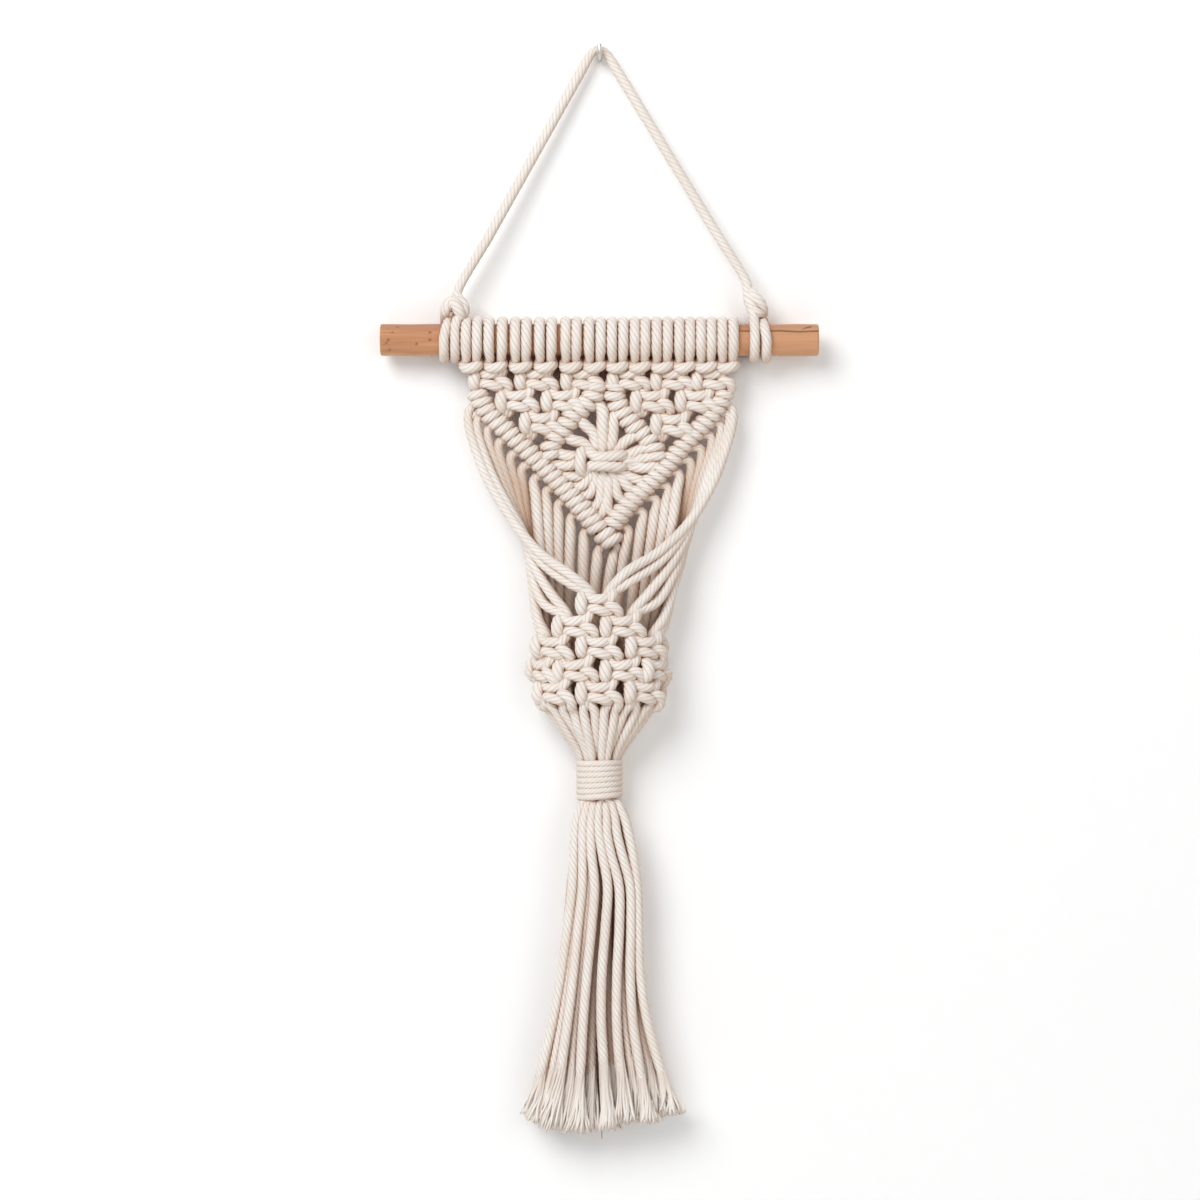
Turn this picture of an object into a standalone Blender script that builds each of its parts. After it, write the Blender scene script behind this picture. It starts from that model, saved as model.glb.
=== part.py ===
"""A macrame wall hanging: twelve folded cotton cords on a wooden dowel, knotted into a flat panel with a
flower at its middle, then into a hollow pocket with its mouth at the front, gathered by a wrapping cord and
ending in a tassel. A twisted cord carries the dowel, and a wire hook in the wall carries that cord.

+Z is up, +X is to the right and -Y is the front. The wall is the plane Y = 0, and the origin is the middle of
the hook's end face on it. Lengths are in metres. The tables are in millimetres and say so in their names.
"""

import math

import bmesh
import bpy
from mathutils import Vector

MM = 0.001
GAP = 0.3 * MM  # between neighbouring pieces
UP = Vector((0, 0, 1))
FRONT = Vector((0, -1, 0))

# ---------------------------------------------------------------- driving sizes
CORD_D = 5.0 * MM  # three-ply cotton cord
CORD_R = CORD_D / 2
DOWEL_D = 16 * MM
DOWEL_LENGTH = 219 * MM
DOWEL_Z = -142 * MM
PANEL_Y = -13 * MM  # the plane of the dowel's axis and of the panel's strands
TURN_THICKNESS = 3.7 * MM  # a cord pulled tight round the dowel flattens to this
WRAP_R = DOWEL_D / 2 + GAP + TURN_THICKNESS

HOOK_WIRE_R = 1.1 * MM
HOOK_REACH = 11 * MM  # from the wall to the tip's middle
HOOK_TIP_Z = 6.5 * MM
HANGER_APEX_Z = HOOK_WIRE_R + CORD_R + 0.4 * MM
HANGER_APEX_X = -0.3 * MM
HANGER_APEX_Y = -5.6 * MM
HANGER_BEND_R = 5.0 * MM
HANGER_R = 2.35 * MM
HANGER_TWIST_PITCH = 20 * MM

KNOT_WIDTH = 17.5 * MM  # a square knot of four strands
KNOT_HEIGHT = 11.6 * MM
KNOT_DEPTH = 9 * MM
BAND_R = 4.7 * MM  # a band of double half hitches
STRAND_SIDES = 5
PAIR_R = 3.5 * MM  # two strands side by side, between two knots

POCKET_Y = -19.5 * MM  # the middle of the pocket's rings
POCKET_KNOTS = 6  # square knots in a full ring
WRAP_TOP_Z = -351.5 * MM
WRAP_BOTTOM_Z = -374 * MM
WRAP_HALF_WIDTH = 11.85 * MM
WRAP_HALF_DEPTH = 12.3 * MM
WRAP_CORD_R = 1.7 * MM
WRAP_TURNS = 7
CORE_HALF_WIDTH = WRAP_HALF_WIDTH - 2 * WRAP_CORD_R
CORE_HALF_DEPTH = WRAP_HALF_DEPTH - 2 * WRAP_CORD_R

# ---------------------------------------------------------------- tables, in millimetres
# The middle of each lark's head on the dowel, left to right. Each is two turns of one folded cord.
LARKS_HEADS_X_MM = (-63.9, -51.8, -39.3, -26.9, -14.15, -2.35, 9.0, 20.2, 31.3, 42.5, 53.2, 64.0)
LARKS_TURN_OFFSET_MM = 2.8
LARKS_BAR_Z_MM = -156.0

# Each leg of the hanger cord, the knot that ends it and its turns round the dowel.
HANGER_LEGS_MM = {
    # side: foot x and z, knot x and z, knot width and height, x of the two turns
    "left": (-71.4, -121.0, -72.8, -125.8, 13.0, 10.0, (-77.3, -71.9)),
    "right": (76.0, -119.0, 76.8, -124.5, 12.0, 12.5, (78.0, 83.4)),
}
HANGER_KNOT_DEPTH = 11 * MM

# Rows of square knots in the panel: the row's height, and the middle of each knot in it.
PANEL_ROWS_MM = {
    "left": (
        (-161.9, (-54.2, -31.2, -8.2)),
        (-172.7, (-40.8, -18.0)),
        (-184.0, (-28.8,)),
    ),
    "right": (
        (-161.9, (15.0, 36.6, 57.0)),
        (-172.9, (26.6, 48.9)),
        (-184.8, (36.7,)),
    ),
}

# Bands of double half hitches: x and z along each one's middle, and the number of turns.
BANDS_MM = {
    "outer_left": (
        24,
        ((-62.8, -167.5), (-55.9, -177.5), (-38.8, -194.5), (-23.8, -209.5), (-9.8, -225.0), (0.5, -237.5)),
    ),
    "outer_right": (
        24,
        ((64.2, -167.5), (57.0, -178.0), (43.8, -192.5), (29.8, -209.0), (16.8, -221.5), (5.5, -235.5)),
    ),
    "inner_left": (
        12,
        ((-1.3, -163.5), (-4.3, -171.5), (-13.0, -179.0), (-18.3, -186.5), (-24.2, -194.0), (-24.4, -201.5)),
    ),
    "inner_right": (
        12,
        ((7.8, -163.5), (7.4, -170.5), (11.3, -177.5), (17.5, -185.0), (26.0, -193.5), (29.5, -202.0)),
    ),
}

# The flower: its knot, and its strands from the bands (outer end) to the knot (inner end).
FLOWER_KNOT_MM = (3.2, -202.7)
FLOWER_KNOT_SIZE_MM = (27, 13.5, 10)
FLOWER_STRANDS_MM = (
    # outer x, outer z, inner x, inner z
    (1.5, -172.0, 1.5, -199.0),
    (10.5, -181.0, 6.0, -199.0),
    (-10.5, -182.5, -1.3, -199.0),
    (-18.0, -191.0, -4.0, -199.5),
    (-23.0, -198.5, -8.0, -201.0),
    (-23.5, -206.0, -8.0, -203.0),
    (-18.5, -211.5, -5.5, -205.0),
    (-11.0, -220.5, -2.5, -206.0),
    (-2.0, -229.0, 0.8, -206.0),
    (4.0, -231.0, 4.5, -206.0),
    (16.5, -219.5, 8.2, -206.0),
    (26.0, -213.0, 10.5, -204.5),
    (28.5, -205.5, 12.5, -203.5),
    (28.0, -194.5, 10.0, -201.5),
    (20.5, -188.5, 8.0, -199.5),
)
JOINING_KNOT_MM = (4.6, -241.0)
JOINING_KNOT_SIZE_MM = (12.5, 11.5, 10)

# Where the 24 strands leave the outer bands, left to right.
STRAND_TOPS_MM = (
    # x, z
    (-66.8, -177.0), (-60.8, -181.0), (-55.6, -186.3), (-50.0, -192.8), (-44.0, -199.3), (-38.4, -205.4),
    (-32.6, -211.2), (-26.6, -217.2), (-20.6, -223.8), (-14.2, -230.4), (-7.6, -238.2), (-0.6, -247.0),
    (7.6, -247.4), (14.6, -237.0), (21.8, -228.2), (28.4, -221.8), (34.2, -215.4), (39.6, -208.6),
    (45.0, -202.4), (50.4, -196.2), (55.6, -190.0), (60.2, -184.0), (64.2, -179.2), (67.8, -176.2),
)

# The strands that come forward round the pocket: what each pair passes on its way to its knot.
FORWARD_STRANDS_MM = {
    # strand: ((x, y, z), ...)
    1: ((-60.2, -15.0, -204.0), (-45.5, -18.5, -229.0), (-30.5, -26.0, -248.0), (-14.0, -33.5, -260.0)),
    2: ((-55.5, -14.2, -205.0), (-41.5, -18.0, -232.5), (-29.5, -25.0, -252.5), (-13.5, -32.5, -264.5)),
    3: ((-50.5, -14.0, -208.0), (-38.0, -17.0, -239.0), (-31.5, -23.0, -257.0), (-24.0, -28.5, -269.0)),
    4: ((-46.2, -14.0, -212.0), (-36.6, -16.0, -243.0), (-32.6, -21.5, -262.0), (-27.5, -26.0, -274.0)),
    5: ((-41.5, -13.8, -215.0), (-35.5, -16.0, -247.0), (-33.0, -19.0, -268.0), (-29.8, -22.5, -283.0)),
    6: ((-37.0, -13.2, -219.0), (-34.0, -14.0, -251.0), (-32.6, -16.5, -272.0), (-30.5, -20.0, -285.0)),
    24: ((60.5, -15.0, -204.0), (46.0, -18.5, -231.5), (29.5, -26.0, -248.0), (13.0, -33.5, -258.5)),
    23: ((57.0, -14.2, -206.5), (44.0, -18.0, -235.5), (30.5, -25.0, -252.5), (14.0, -32.5, -263.5)),
    22: ((54.0, -14.0, -209.5), (43.3, -17.5, -240.0), (34.0, -23.0, -256.5), (24.5, -28.5, -268.5)),
    21: ((51.0, -14.0, -212.5), (42.6, -16.5, -244.5), (36.0, -21.5, -260.5), (28.5, -26.0, -273.0)),
    20: ((47.3, -13.8, -216.5), (41.6, -16.0, -248.5), (36.5, -19.0, -267.0), (31.8, -22.5, -281.0)),
    19: ((43.2, -13.2, -221.0), (39.0, -14.0, -252.5), (35.5, -16.5, -271.0), (32.0, -20.0, -285.0)),
}

# The pocket's knots: height, half width and half depth of the ring that they lie on, and each knot's turn
# round it in sixths, where 0 is the middle of the front and 3 the middle of the back.
POCKET_ROWS_MM = {
    "first": (-274.3, 29.0, 13.0, (0,)),
    "second": (-285.2, 29.0, 13.0, (-0.5, 0.5)),
    "ring_1": (-295.6, 29.0, 13.0, (-2, -1, 0, 1, 2, 3)),
    "ring_2": (-307.0, 28.0, 13.5, (-2.5, -1.5, -0.5, 0.5, 1.5, 2.5)),
    "ring_3": (-318.0, 27.5, 13.5, (-2, -1, 0, 1, 2, 3)),
}

# Where each strand below the panel meets its first knot: the knot's row, and the strand's own place round it.
STRAND_KNOTS = {
    # strand: (row, place in sixths)
    1: ("first", -0.14), 2: ("first", -0.22), 24: ("first", 0.14), 23: ("first", 0.22),
    3: ("second", -0.72), 4: ("second", -0.80), 22: ("second", 0.72), 21: ("second", 0.80),
    5: ("ring_1", -1.12), 6: ("ring_1", -1.26), 20: ("ring_1", 1.12), 19: ("ring_1", 1.26),
    7: ("ring_1", -1.76), 8: ("ring_1", -1.92), 9: ("ring_1", -2.08), 10: ("ring_1", -2.24),
    11: ("ring_1", -2.76), 12: ("ring_1", -2.92), 13: ("ring_1", 2.92), 14: ("ring_1", 2.76),
    15: ("ring_1", 2.24), 16: ("ring_1", 2.08), 17: ("ring_1", 1.92), 18: ("ring_1", 1.76),
}

# The gathered strands above the wrap: height, half width and half depth.
NECK_CONE_MM = ((-338.0, 5.0, 5.0), (-343.0, 8.6, 8.8), (-351.2, 9.2, 9.6))
NECK_STRANDS_MM = (-346.0, 7.6, 8.0)  # where the strands end on it

# The tassel's outline: height, its middle, half width and half depth between the outermost strands' middles.
TASSEL_MM = (
    # z, x, half width, half depth
    (-375.0, 0.2, 5.2, 5.2),
    (-379.0, 0.5, 9.6, 7.8),
    (-388.0, 0.7, 12.8, 9.0),
    (-410.0, 1.4, 15.2, 9.6),
    (-440.0, 1.2, 17.6, 9.8),
    (-472.0, 0.2, 20.6, 9.7),
    (-500.0, 0.6, 25.8, 9.6),
    (-520.0, 1.0, 31.2, 9.5),
    (-537.0, 0.8, 34.4, 9.2),
)
TASSEL_ROWS = (7, 5, 5, 7)  # strands in each row, front to back
TASSEL_END_Z_MM = -537.0
TASSEL_INNER_ROW_SHARE = 0.72  # how far the inner rows reach towards the sides
TASSEL_HEAD_END_Z = -381 * MM

# How wide and how deep a strand of the tassel is at each height, out to its brushed end.
TASSEL_STRAND_MM = (
    # z, width, depth
    (-370.0, 1.8, 1.8),
    (-375.0, 2.2, 2.2),
    (-381.0, 3.0, 3.0),
    (-390.0, 3.7, 4.0),
    (-412.0, 4.4, 4.6),
    (-445.0, 4.8, 4.8),
    (-500.0, 4.9, 4.9),
    (-519.0, 6.0, 5.2),
    (TASSEL_END_Z_MM, 8.6, 6.0),
)


# ---------------------------------------------------------------- building blocks
def in_panel(x_mm, z_mm, forward_mm=0.0):
    """A point of the panel's plane, or in front of it."""
    return Vector((x_mm * MM, PANEL_Y - forward_mm * MM, z_mm * MM))


def spline(points, steps):
    """A Catmull-Rom curve through the points, with that many steps between neighbours."""
    ends = [2 * points[0] - points[1], *points, 2 * points[-1] - points[-2]]
    curve = []
    for before, a, b, after in zip(ends, ends[1:], ends[2:], ends[3:]):
        for i in range(steps):
            t = i / steps
            curve.append(
                0.5 * (2 * a + (b - before) * t + (2 * before - 5 * a + 4 * b - after) * t**2
                       + (3 * a - before - 3 * b + after) * t**3)
            )
    return curve + [points[-1].copy()]


def resample(curve, count):
    """count points at equal distances along a curve."""
    lengths = [0.0]
    for a, b in zip(curve, curve[1:]):
        lengths.append(lengths[-1] + (b - a).length)
    even, k = [], 0
    for i in range(count):
        at = lengths[-1] * i / (count - 1)
        while k < len(curve) - 2 and lengths[k + 1] < at:
            k += 1
        even.append(curve[k].lerp(curve[k + 1], (at - lengths[k]) / (lengths[k + 1] - lengths[k])))
    return even


def skin_rings(bm, rings, closed=False, triangles=False):
    """Joins rings of points into one closed body, with a flat cap at each end unless it closes on itself."""
    loops = [[bm.verts.new(p) for p in ring] for ring in rings]
    pairs = list(zip(loops, loops[1:] + loops[:1])) if closed else list(zip(loops, loops[1:]))
    faces = []
    for low, high in pairs:
        for i in range(len(low)):
            j = (i + 1) % len(low)
            if triangles:
                faces.append(bm.faces.new((low[i], low[j], high[i])))
                faces.append(bm.faces.new((low[j], high[j], high[i])))
            else:
                faces.append(bm.faces.new((low[i], low[j], high[j], high[i])))
    if not closed:
        faces.append(bm.faces.new(loops[0][::-1]))
        faces.append(bm.faces.new(loops[-1]))
    bmesh.ops.recalc_face_normals(bm, faces=faces)


def level_ring(z, half_width, half_depth, sides):
    """A level oval of points round the hanging's middle line."""
    angles = [2 * math.pi * k / sides for k in range(sides)]
    return [Vector((half_width * math.sin(a), PANEL_Y - half_depth * math.cos(a), z)) for a in angles]


def frames(route, closed=False, side=None):
    """A pair of directions square to the route at each point, carried along it without twisting."""
    count = len(route)
    tangents = []
    for i in range(count):
        after = route[(i + 1) % count] if closed or i + 1 < count else route[i]
        before = route[i - 1] if closed or i > 0 else route[i]
        tangents.append((after - before).normalized())
    if side is None:
        side = FRONT if abs(tangents[0].dot(FRONT)) < 0.9 else UP
    pairs = []
    for tangent in tangents:
        side = (side - tangent * side.dot(tangent)).normalized()
        pairs.append((side, tangent.cross(side)))
    return pairs


def tube(bm, route, radii, sides=STRAND_SIDES, closed=False):
    """A round-sectioned body along a route. radii is one radius, or one for each point."""
    if not hasattr(radii, "__len__"):
        radii = [radii] * len(route)
    rings = []
    for at, radius, (side, other) in zip(route, radii, frames(route, closed)):
        angles = [2 * math.pi * k / sides for k in range(sides)]
        rings.append([at + radius * (math.cos(a) * side + math.sin(a) * other) for a in angles])
    skin_rings(bm, rings, closed)


def ridged_band(bm, points, turns, radius, groove=0.8, sides=6):
    """A band of hitches: a bar along the points with one raised ridge for each turn."""
    steps = 2 * turns + 1
    route = resample(spline(points, 8), steps)
    radii = [radius * (groove if i % 2 == 0 else 1.0) for i in range(steps)]
    radii[0] = radii[-1] = radius * 0.6
    tube(bm, route, radii, sides)


def square_knot(bm, middle, across=Vector((1, 0, 0)), out=FRONT, size=None):
    """A square knot: two bars across its front with a groove between them, and a full bump at one end.

    across runs along the bars to the end without the bump, and out points away from the strands behind.
    """
    width, height, depth = size or (KNOT_WIDTH, KNOT_HEIGHT, KNOT_DEPTH)
    half, front, back = height / 2, 0.55 * depth, -0.45 * depth
    sections = (
        # along the width, scale, how far the groove between the bars stands out
        (-0.50, 0.50, 1.00),
        (-0.33, 1.00, 1.00),
        (-0.12, 0.92, 0.45),
        (0.26, 0.94, 0.45),
        (0.50, 0.46, 0.70),
    )
    rings = []
    for along, scale, groove in sections:
        outline = (
            (-0.80 * half, back), (-1.00 * half, 0.25 * front), (-0.55 * half, front),
            (0.00 * half, groove * front),
            (0.55 * half, front), (1.00 * half, 0.25 * front), (0.80 * half, back),
        )
        centre = middle + across * along * width
        rings.append([centre + scale * (up * UP + forward * out) for up, forward in outline])
    skin_rings(bm, rings)


def strand(bm, points, steps, radius=CORD_R, radii=None):
    """A strand through the points, cut into that many steps."""
    route = resample(spline(points, 6), steps + 1)
    tube(bm, route, radii or radius)


def nearest(curve, point):
    return min(curve, key=lambda p: (p - point).length)


def material(name, colour, roughness, metallic=0.0):
    made = bpy.data.materials.new(name)
    made.use_nodes = True
    surface = made.node_tree.nodes["Principled BSDF"]
    surface.inputs["Base Color"].default_value = (*colour, 1)
    surface.inputs["Roughness"].default_value = roughness
    surface.inputs["Metallic"].default_value = metallic
    return made


def add_object(name, bm, finish, smooth_below=math.radians(35)):
    mesh = bpy.data.meshes.new(name)
    bm.to_mesh(mesh)
    bm.free()
    mesh.shade_smooth()
    mesh.set_sharp_from_angle(angle=smooth_below)
    mesh.materials.append(finish)
    made = bpy.data.objects.new(name, mesh)
    bpy.context.scene.collection.objects.link(made)
    return made


def fused(name, bm, seed_bm, finish):
    """One solid of everything in bm and seed_bm: overlapping bodies are joined where they cross."""
    base = add_object(name, bm, finish)
    seed = add_object(name + "_seed", seed_bm, finish)
    seed.hide_render = True
    seed.display_type = "WIRE"
    union = base.modifiers.new("fuse", "BOOLEAN")
    union.operation = "UNION"
    union.object = seed
    union.solver = "EXACT"
    union.use_self = True
    return base


# ---------------------------------------------------------------- dowel and hook
def build_dowel(finish):
    """A round rod with its end edges broken."""
    bm = bmesh.new()
    half, edge, radius = DOWEL_LENGTH / 2, 0.8 * MM, DOWEL_D / 2
    middle = Vector((0, PANEL_Y, DOWEL_Z))
    steps = ((-half, radius - edge), (-half + edge, radius), (half - edge, radius), (half, radius - edge))
    route = [middle + Vector((x, 0, 0)) for x, _ in steps]
    tube(bm, route, [r for _, r in steps], sides=24)
    return add_object("dowel", bm, finish)


def build_hook(finish):
    """A plain wire hook: a shank out of the wall, bent up at its tip in front of the hanger cord."""
    bend = 2.4 * MM
    route = [Vector((0, 0, 0)), Vector((0, -HOOK_REACH + bend, 0))]
    for i in range(1, 5):
        turn = math.radians(90) * i / 4
        route.append(Vector((0, -HOOK_REACH + bend - bend * math.sin(turn), bend - bend * math.cos(turn))))
    route.append(Vector((0, -HOOK_REACH, HOOK_TIP_Z - 0.4 * MM)))
    route.append(Vector((0, -HOOK_REACH, HOOK_TIP_Z)))
    bm = bmesh.new()
    tube(bm, route, [HOOK_WIRE_R] * (len(route) - 1) + [HOOK_WIRE_R * 0.6], sides=12)
    return add_object("hook", bm, finish)


# ---------------------------------------------------------------- hanger cord
def twisted(bm, route, radius, pitch):
    """A three-ply cord: a section of three lobes that turns along the route."""
    length = sum((b - a).length for a, b in zip(route, route[1:]))
    turn = 2 * math.pi * length / pitch / (len(route) - 1)
    rings = []
    for i, (at, (side, other)) in enumerate(zip(route, frames(route))):
        ring = []
        for k in range(6):
            angle = i * turn + math.pi * k / 3
            reach = radius * (1.05 if k % 2 == 0 else 0.78)
            ring.append(at + reach * (math.cos(angle) * side + math.sin(angle) * other))
        rings.append(ring)
    skin_rings(bm, rings, triangles=True)


def dowel_turn(bm, x):
    """One flattened turn of cord round the dowel, a little clear of the wood."""
    steps, sides = 12, 6
    thick, wide = TURN_THICKNESS / 2, 0.96 * CORD_R
    reach = WRAP_R - thick
    rings = []
    for i in range(steps):
        a = 2 * math.pi * i / steps
        radial = Vector((0, -math.cos(a), math.sin(a)))
        centre = Vector((x, PANEL_Y, DOWEL_Z)) + reach * radial
        angles = [2 * math.pi * k / sides for k in range(sides)]
        rings.append([centre + thick * math.sin(b) * radial + Vector((wide * math.cos(b), 0, 0)) for b in angles])
    skin_rings(bm, rings, closed=True)


def over_hook(left, right):
    """The hanger cord's middle: straight legs and a round bend over the hook."""
    centre = Vector((HANGER_APEX_X, HANGER_APEX_Y, HANGER_APEX_Z - HANGER_BEND_R))
    slopes = [math.atan2(centre.z - foot.z, abs(foot.x - centre.x)) for foot in (left, right)]
    steps = 12
    bend = []
    for i in range(steps + 1):
        turn = -slopes[0] + (slopes[0] + slopes[1]) * i / steps
        bend.append(centre + HANGER_BEND_R * Vector((math.sin(turn), 0, math.cos(turn))))
    return [left, *bend, right]


def build_hanger(finish):
    """The hanger cord from knot to knot over the hook, with each end's two turns round the dowel."""
    feet = {}
    knots = bmesh.new()
    for side, (foot_x, foot_z, knot_x, knot_z, width, height, turns) in HANGER_LEGS_MM.items():
        feet[side] = in_panel(foot_x, foot_z)
        square_knot(knots, in_panel(knot_x, knot_z), size=(width * MM, height * MM, HANGER_KNOT_DEPTH))
        for x in turns:
            dowel_turn(knots, x * MM)
            top = Vector((x * MM, PANEL_Y, DOWEL_Z + WRAP_R - TURN_THICKNESS / 2))
            strand(knots, [in_panel(knot_x, knot_z), in_panel((knot_x + x) / 2, knot_z - 3), top], 2)
    curve = over_hook(feet["left"], feet["right"])
    length = sum((b - a).length for a, b in zip(curve, curve[1:]))
    steps = round(length / HANGER_TWIST_PITCH * 6)
    rope = bmesh.new()
    twisted(rope, resample(curve, steps + 1), HANGER_R, HANGER_TWIST_PITCH)
    return fused("hanger_cord", knots, rope, finish)


# ---------------------------------------------------------------- panel
def larks_heads(bm):
    """Twenty-four turns over the dowel as one ridged sleeve, and the twelve bars below it as one ridged bar."""
    turns = [(x + side * LARKS_TURN_OFFSET_MM) * MM for x in LARKS_HEADS_X_MM for side in (-1, 1)]
    sides = 10
    bore = (DOWEL_D / 2 + GAP) / math.cos(math.pi / sides)  # its flats clear the dowel
    groove, ridge = WRAP_R - 1.0 * MM, WRAP_R
    stations = [(turns[0] - CORD_R, groove)]
    for here, after in zip(turns, turns[1:] + [None]):
        stations.append((here, ridge))
        stations.append(((here + after) / 2, groove) if after is not None else (here + CORD_R, groove))
    centre = Vector((0, PANEL_Y, DOWEL_Z))

    def ring(x, radius):
        angles = [2 * math.pi * k / sides for k in range(sides)]
        return [centre + Vector((x, radius * math.cos(a), radius * math.sin(a))) for a in angles]

    rings = [ring(x, radius) for x, radius in stations]
    rings += [ring(stations[-1][0], bore), ring(stations[0][0], bore)]
    skin_rings(bm, rings, closed=True)


def larks_bar():
    """The fronts of the twelve lark's heads, side by side under the dowel."""
    bm = bmesh.new()
    route, radii = [], []
    for x in LARKS_HEADS_X_MM:
        for offset, radius in ((-5.0, 2.0), (-2.2, 3.2), (2.2, 3.2)):
            route.append(in_panel(x + offset, LARKS_BAR_Z_MM, 0.8))
            radii.append(radius * MM)
    tube(bm, route, radii, sides=6)
    return bm


def panel_knots(bm, bands):
    """Both halves' rows of square knots, and the pairs of strands that leave each one's lower corners."""
    reach = 4.6  # mm from a knot's middle to the pair at its corner
    for side, rows in PANEL_ROWS_MM.items():
        lower_rows = [xs for _, xs in rows[1:]] + [()]
        heights = [z for z, _ in rows]
        walls = [bands["outer_" + side], bands["inner_" + side]]
        for row, (z, xs) in enumerate(rows):
            for x in xs:
                square_knot(bm, in_panel(x, z))
                for way in (-1, 1):
                    start = in_panel(x + way * 3, z - 1)
                    below = [b for b in lower_rows[row] if 0 < (b - x) * way < 2 * KNOT_WIDTH / MM]
                    if below:
                        end = in_panel(below[0] - way * reach, heights[row + 1] + 2)
                    else:
                        corner = in_panel(x + way * 7, z - 9)
                        end = min((nearest(wall, corner) for wall in walls), key=lambda p: (p - corner).length)
                    strand(bm, [start, end], 1, radius=PAIR_R)


def flower(bm):
    """The knot at the diamond's middle and the strands that spread from it to the bands."""
    square_knot(bm, in_panel(*FLOWER_KNOT_MM, 1.5), size=[s * MM for s in FLOWER_KNOT_SIZE_MM])
    for outer_x, outer_z, inner_x, inner_z in FLOWER_STRANDS_MM:
        outer, inner = in_panel(outer_x, outer_z), in_panel(inner_x, inner_z, 1.0)
        bow = (outer + inner) / 2 + FRONT * 0.8 * MM
        strand(bm, [outer, bow, inner], 2, radius=2.3 * MM)


def build_panel(finish):
    bm = bmesh.new()
    larks_heads(bm)
    bands = {}
    for name, (turns, points) in BANDS_MM.items():
        middle = [in_panel(x, z, 0.4 if "left" in name else 0.0) for x, z in points]
        bands[name] = spline(middle, 8)
        ridged_band(bm, middle, turns, BAND_R if "outer" in name else 0.9 * BAND_R)
    panel_knots(bm, bands)
    flower(bm)
    square_knot(bm, in_panel(*JOINING_KNOT_MM), size=[s * MM for s in JOINING_KNOT_SIZE_MM])
    return fused("panel", bm, larks_bar(), finish)


# ---------------------------------------------------------------- pocket
def ellipse_walk(half_width, half_depth, samples=720):
    """The angles round an ellipse at equal distances along it, from the middle of its front."""
    angles = [2 * math.pi * i / samples for i in range(samples + 1)]
    lengths = [0.0]
    for a, b in zip(angles, angles[1:]):
        middle = (a + b) / 2
        lengths.append(
            lengths[-1] + (b - a) * math.hypot(half_width * math.cos(middle), half_depth * math.sin(middle))
        )
    return angles, lengths


def on_ring(z_mm, half_width_mm, half_depth_mm, sixths, out_mm=0.0):
    """A point on one of the pocket's rings, the way along the ring there and the way out of it."""
    angles, lengths = ellipse_walk(half_width_mm, half_depth_mm)
    wanted = (sixths / POCKET_KNOTS % 1.0) * lengths[-1]
    k = min(range(len(lengths)), key=lambda i: abs(lengths[i] - wanted))
    angle = angles[k]
    out = Vector((math.sin(angle) / half_width_mm, -math.cos(angle) / half_depth_mm, 0)).normalized()
    across = Vector((-out.y, out.x, 0))
    at = Vector((half_width_mm * math.sin(angle) * MM, POCKET_Y - half_depth_mm * math.cos(angle) * MM, z_mm * MM))
    return at + out * out_mm * MM, across, out


def ring_point(row, sixths, rise_mm=0.0):
    z_mm, half_width, half_depth, _ = POCKET_ROWS_MM[row]
    return on_ring(z_mm + rise_mm, half_width, half_depth, sixths)[0]


def pocket_strands(bm):
    """The 24 strands from the panel's lower edge to the pocket's first knots."""
    for number, (x_mm, z_mm) in enumerate(STRAND_TOPS_MM, start=1):
        top = in_panel(x_mm, z_mm)
        row, sixths = STRAND_KNOTS[number]
        foot = ring_point(row, sixths, rise_mm=3.0)
        if number in FORWARD_STRANDS_MM:
            between = [Vector((x * MM, y * MM, z * MM)) for x, y, z in FORWARD_STRANDS_MM[number]]
            steps = 5
        else:
            between = [top.lerp(foot, 0.5) + Vector((0, -1.5 * MM, 0))]
            steps = 3
        strand(bm, [top, *between, foot], steps)


def pocket_knots(bm):
    """The rows of square knots, and the pairs of strands from each knot to the two below it."""
    rows = list(POCKET_ROWS_MM)
    for row, below in zip(rows, rows[1:] + [None]):
        z_mm, half_width, half_depth, places = POCKET_ROWS_MM[row]
        for sixths in places:
            at, across, out = on_ring(z_mm, half_width, half_depth, sixths)
            square_knot(bm, at, across, out)
            if below is None:
                continue
            for way in (-1, 1):
                start = ring_point(row, sixths + way * 0.2, rise_mm=-1.5)
                end = ring_point(below, sixths + way * 0.34, rise_mm=2.0)
                strand(bm, [start, end], 1, radius=PAIR_R)


def neck(bm):
    """The strands from the last ring to the neck, where a ridged cone of the gathered strands holds them."""
    z_mm, half_width, half_depth, places = POCKET_ROWS_MM["ring_3"]
    for sixths in places:
        for offset in (-0.30, -0.12, 0.12, 0.30):
            start, _, out = on_ring(z_mm - 2.5, half_width, half_depth, sixths + offset)
            low, _, _ = on_ring(*NECK_STRANDS_MM, sixths + offset * 1.3)
            low.y += PANEL_Y - POCKET_Y
            bend = start.lerp(low, 0.5) + out * 2.2 * MM
            strand(bm, [start, bend, low], 2, radii=[CORD_R, CORD_R * 0.92, CORD_R * 0.6])
    cone = bmesh.new()
    rings = []
    sides = 12
    for z_mm, width, depth in NECK_CONE_MM:
        rings.append(level_ring(z_mm * MM, width * MM, depth * MM, sides))
    skin_rings(cone, rings)
    return cone


def build_pocket(finish):
    bm = bmesh.new()
    pocket_strands(bm)
    pocket_knots(bm)
    cone = neck(bm)
    return fused("pocket", bm, cone, finish)


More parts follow.
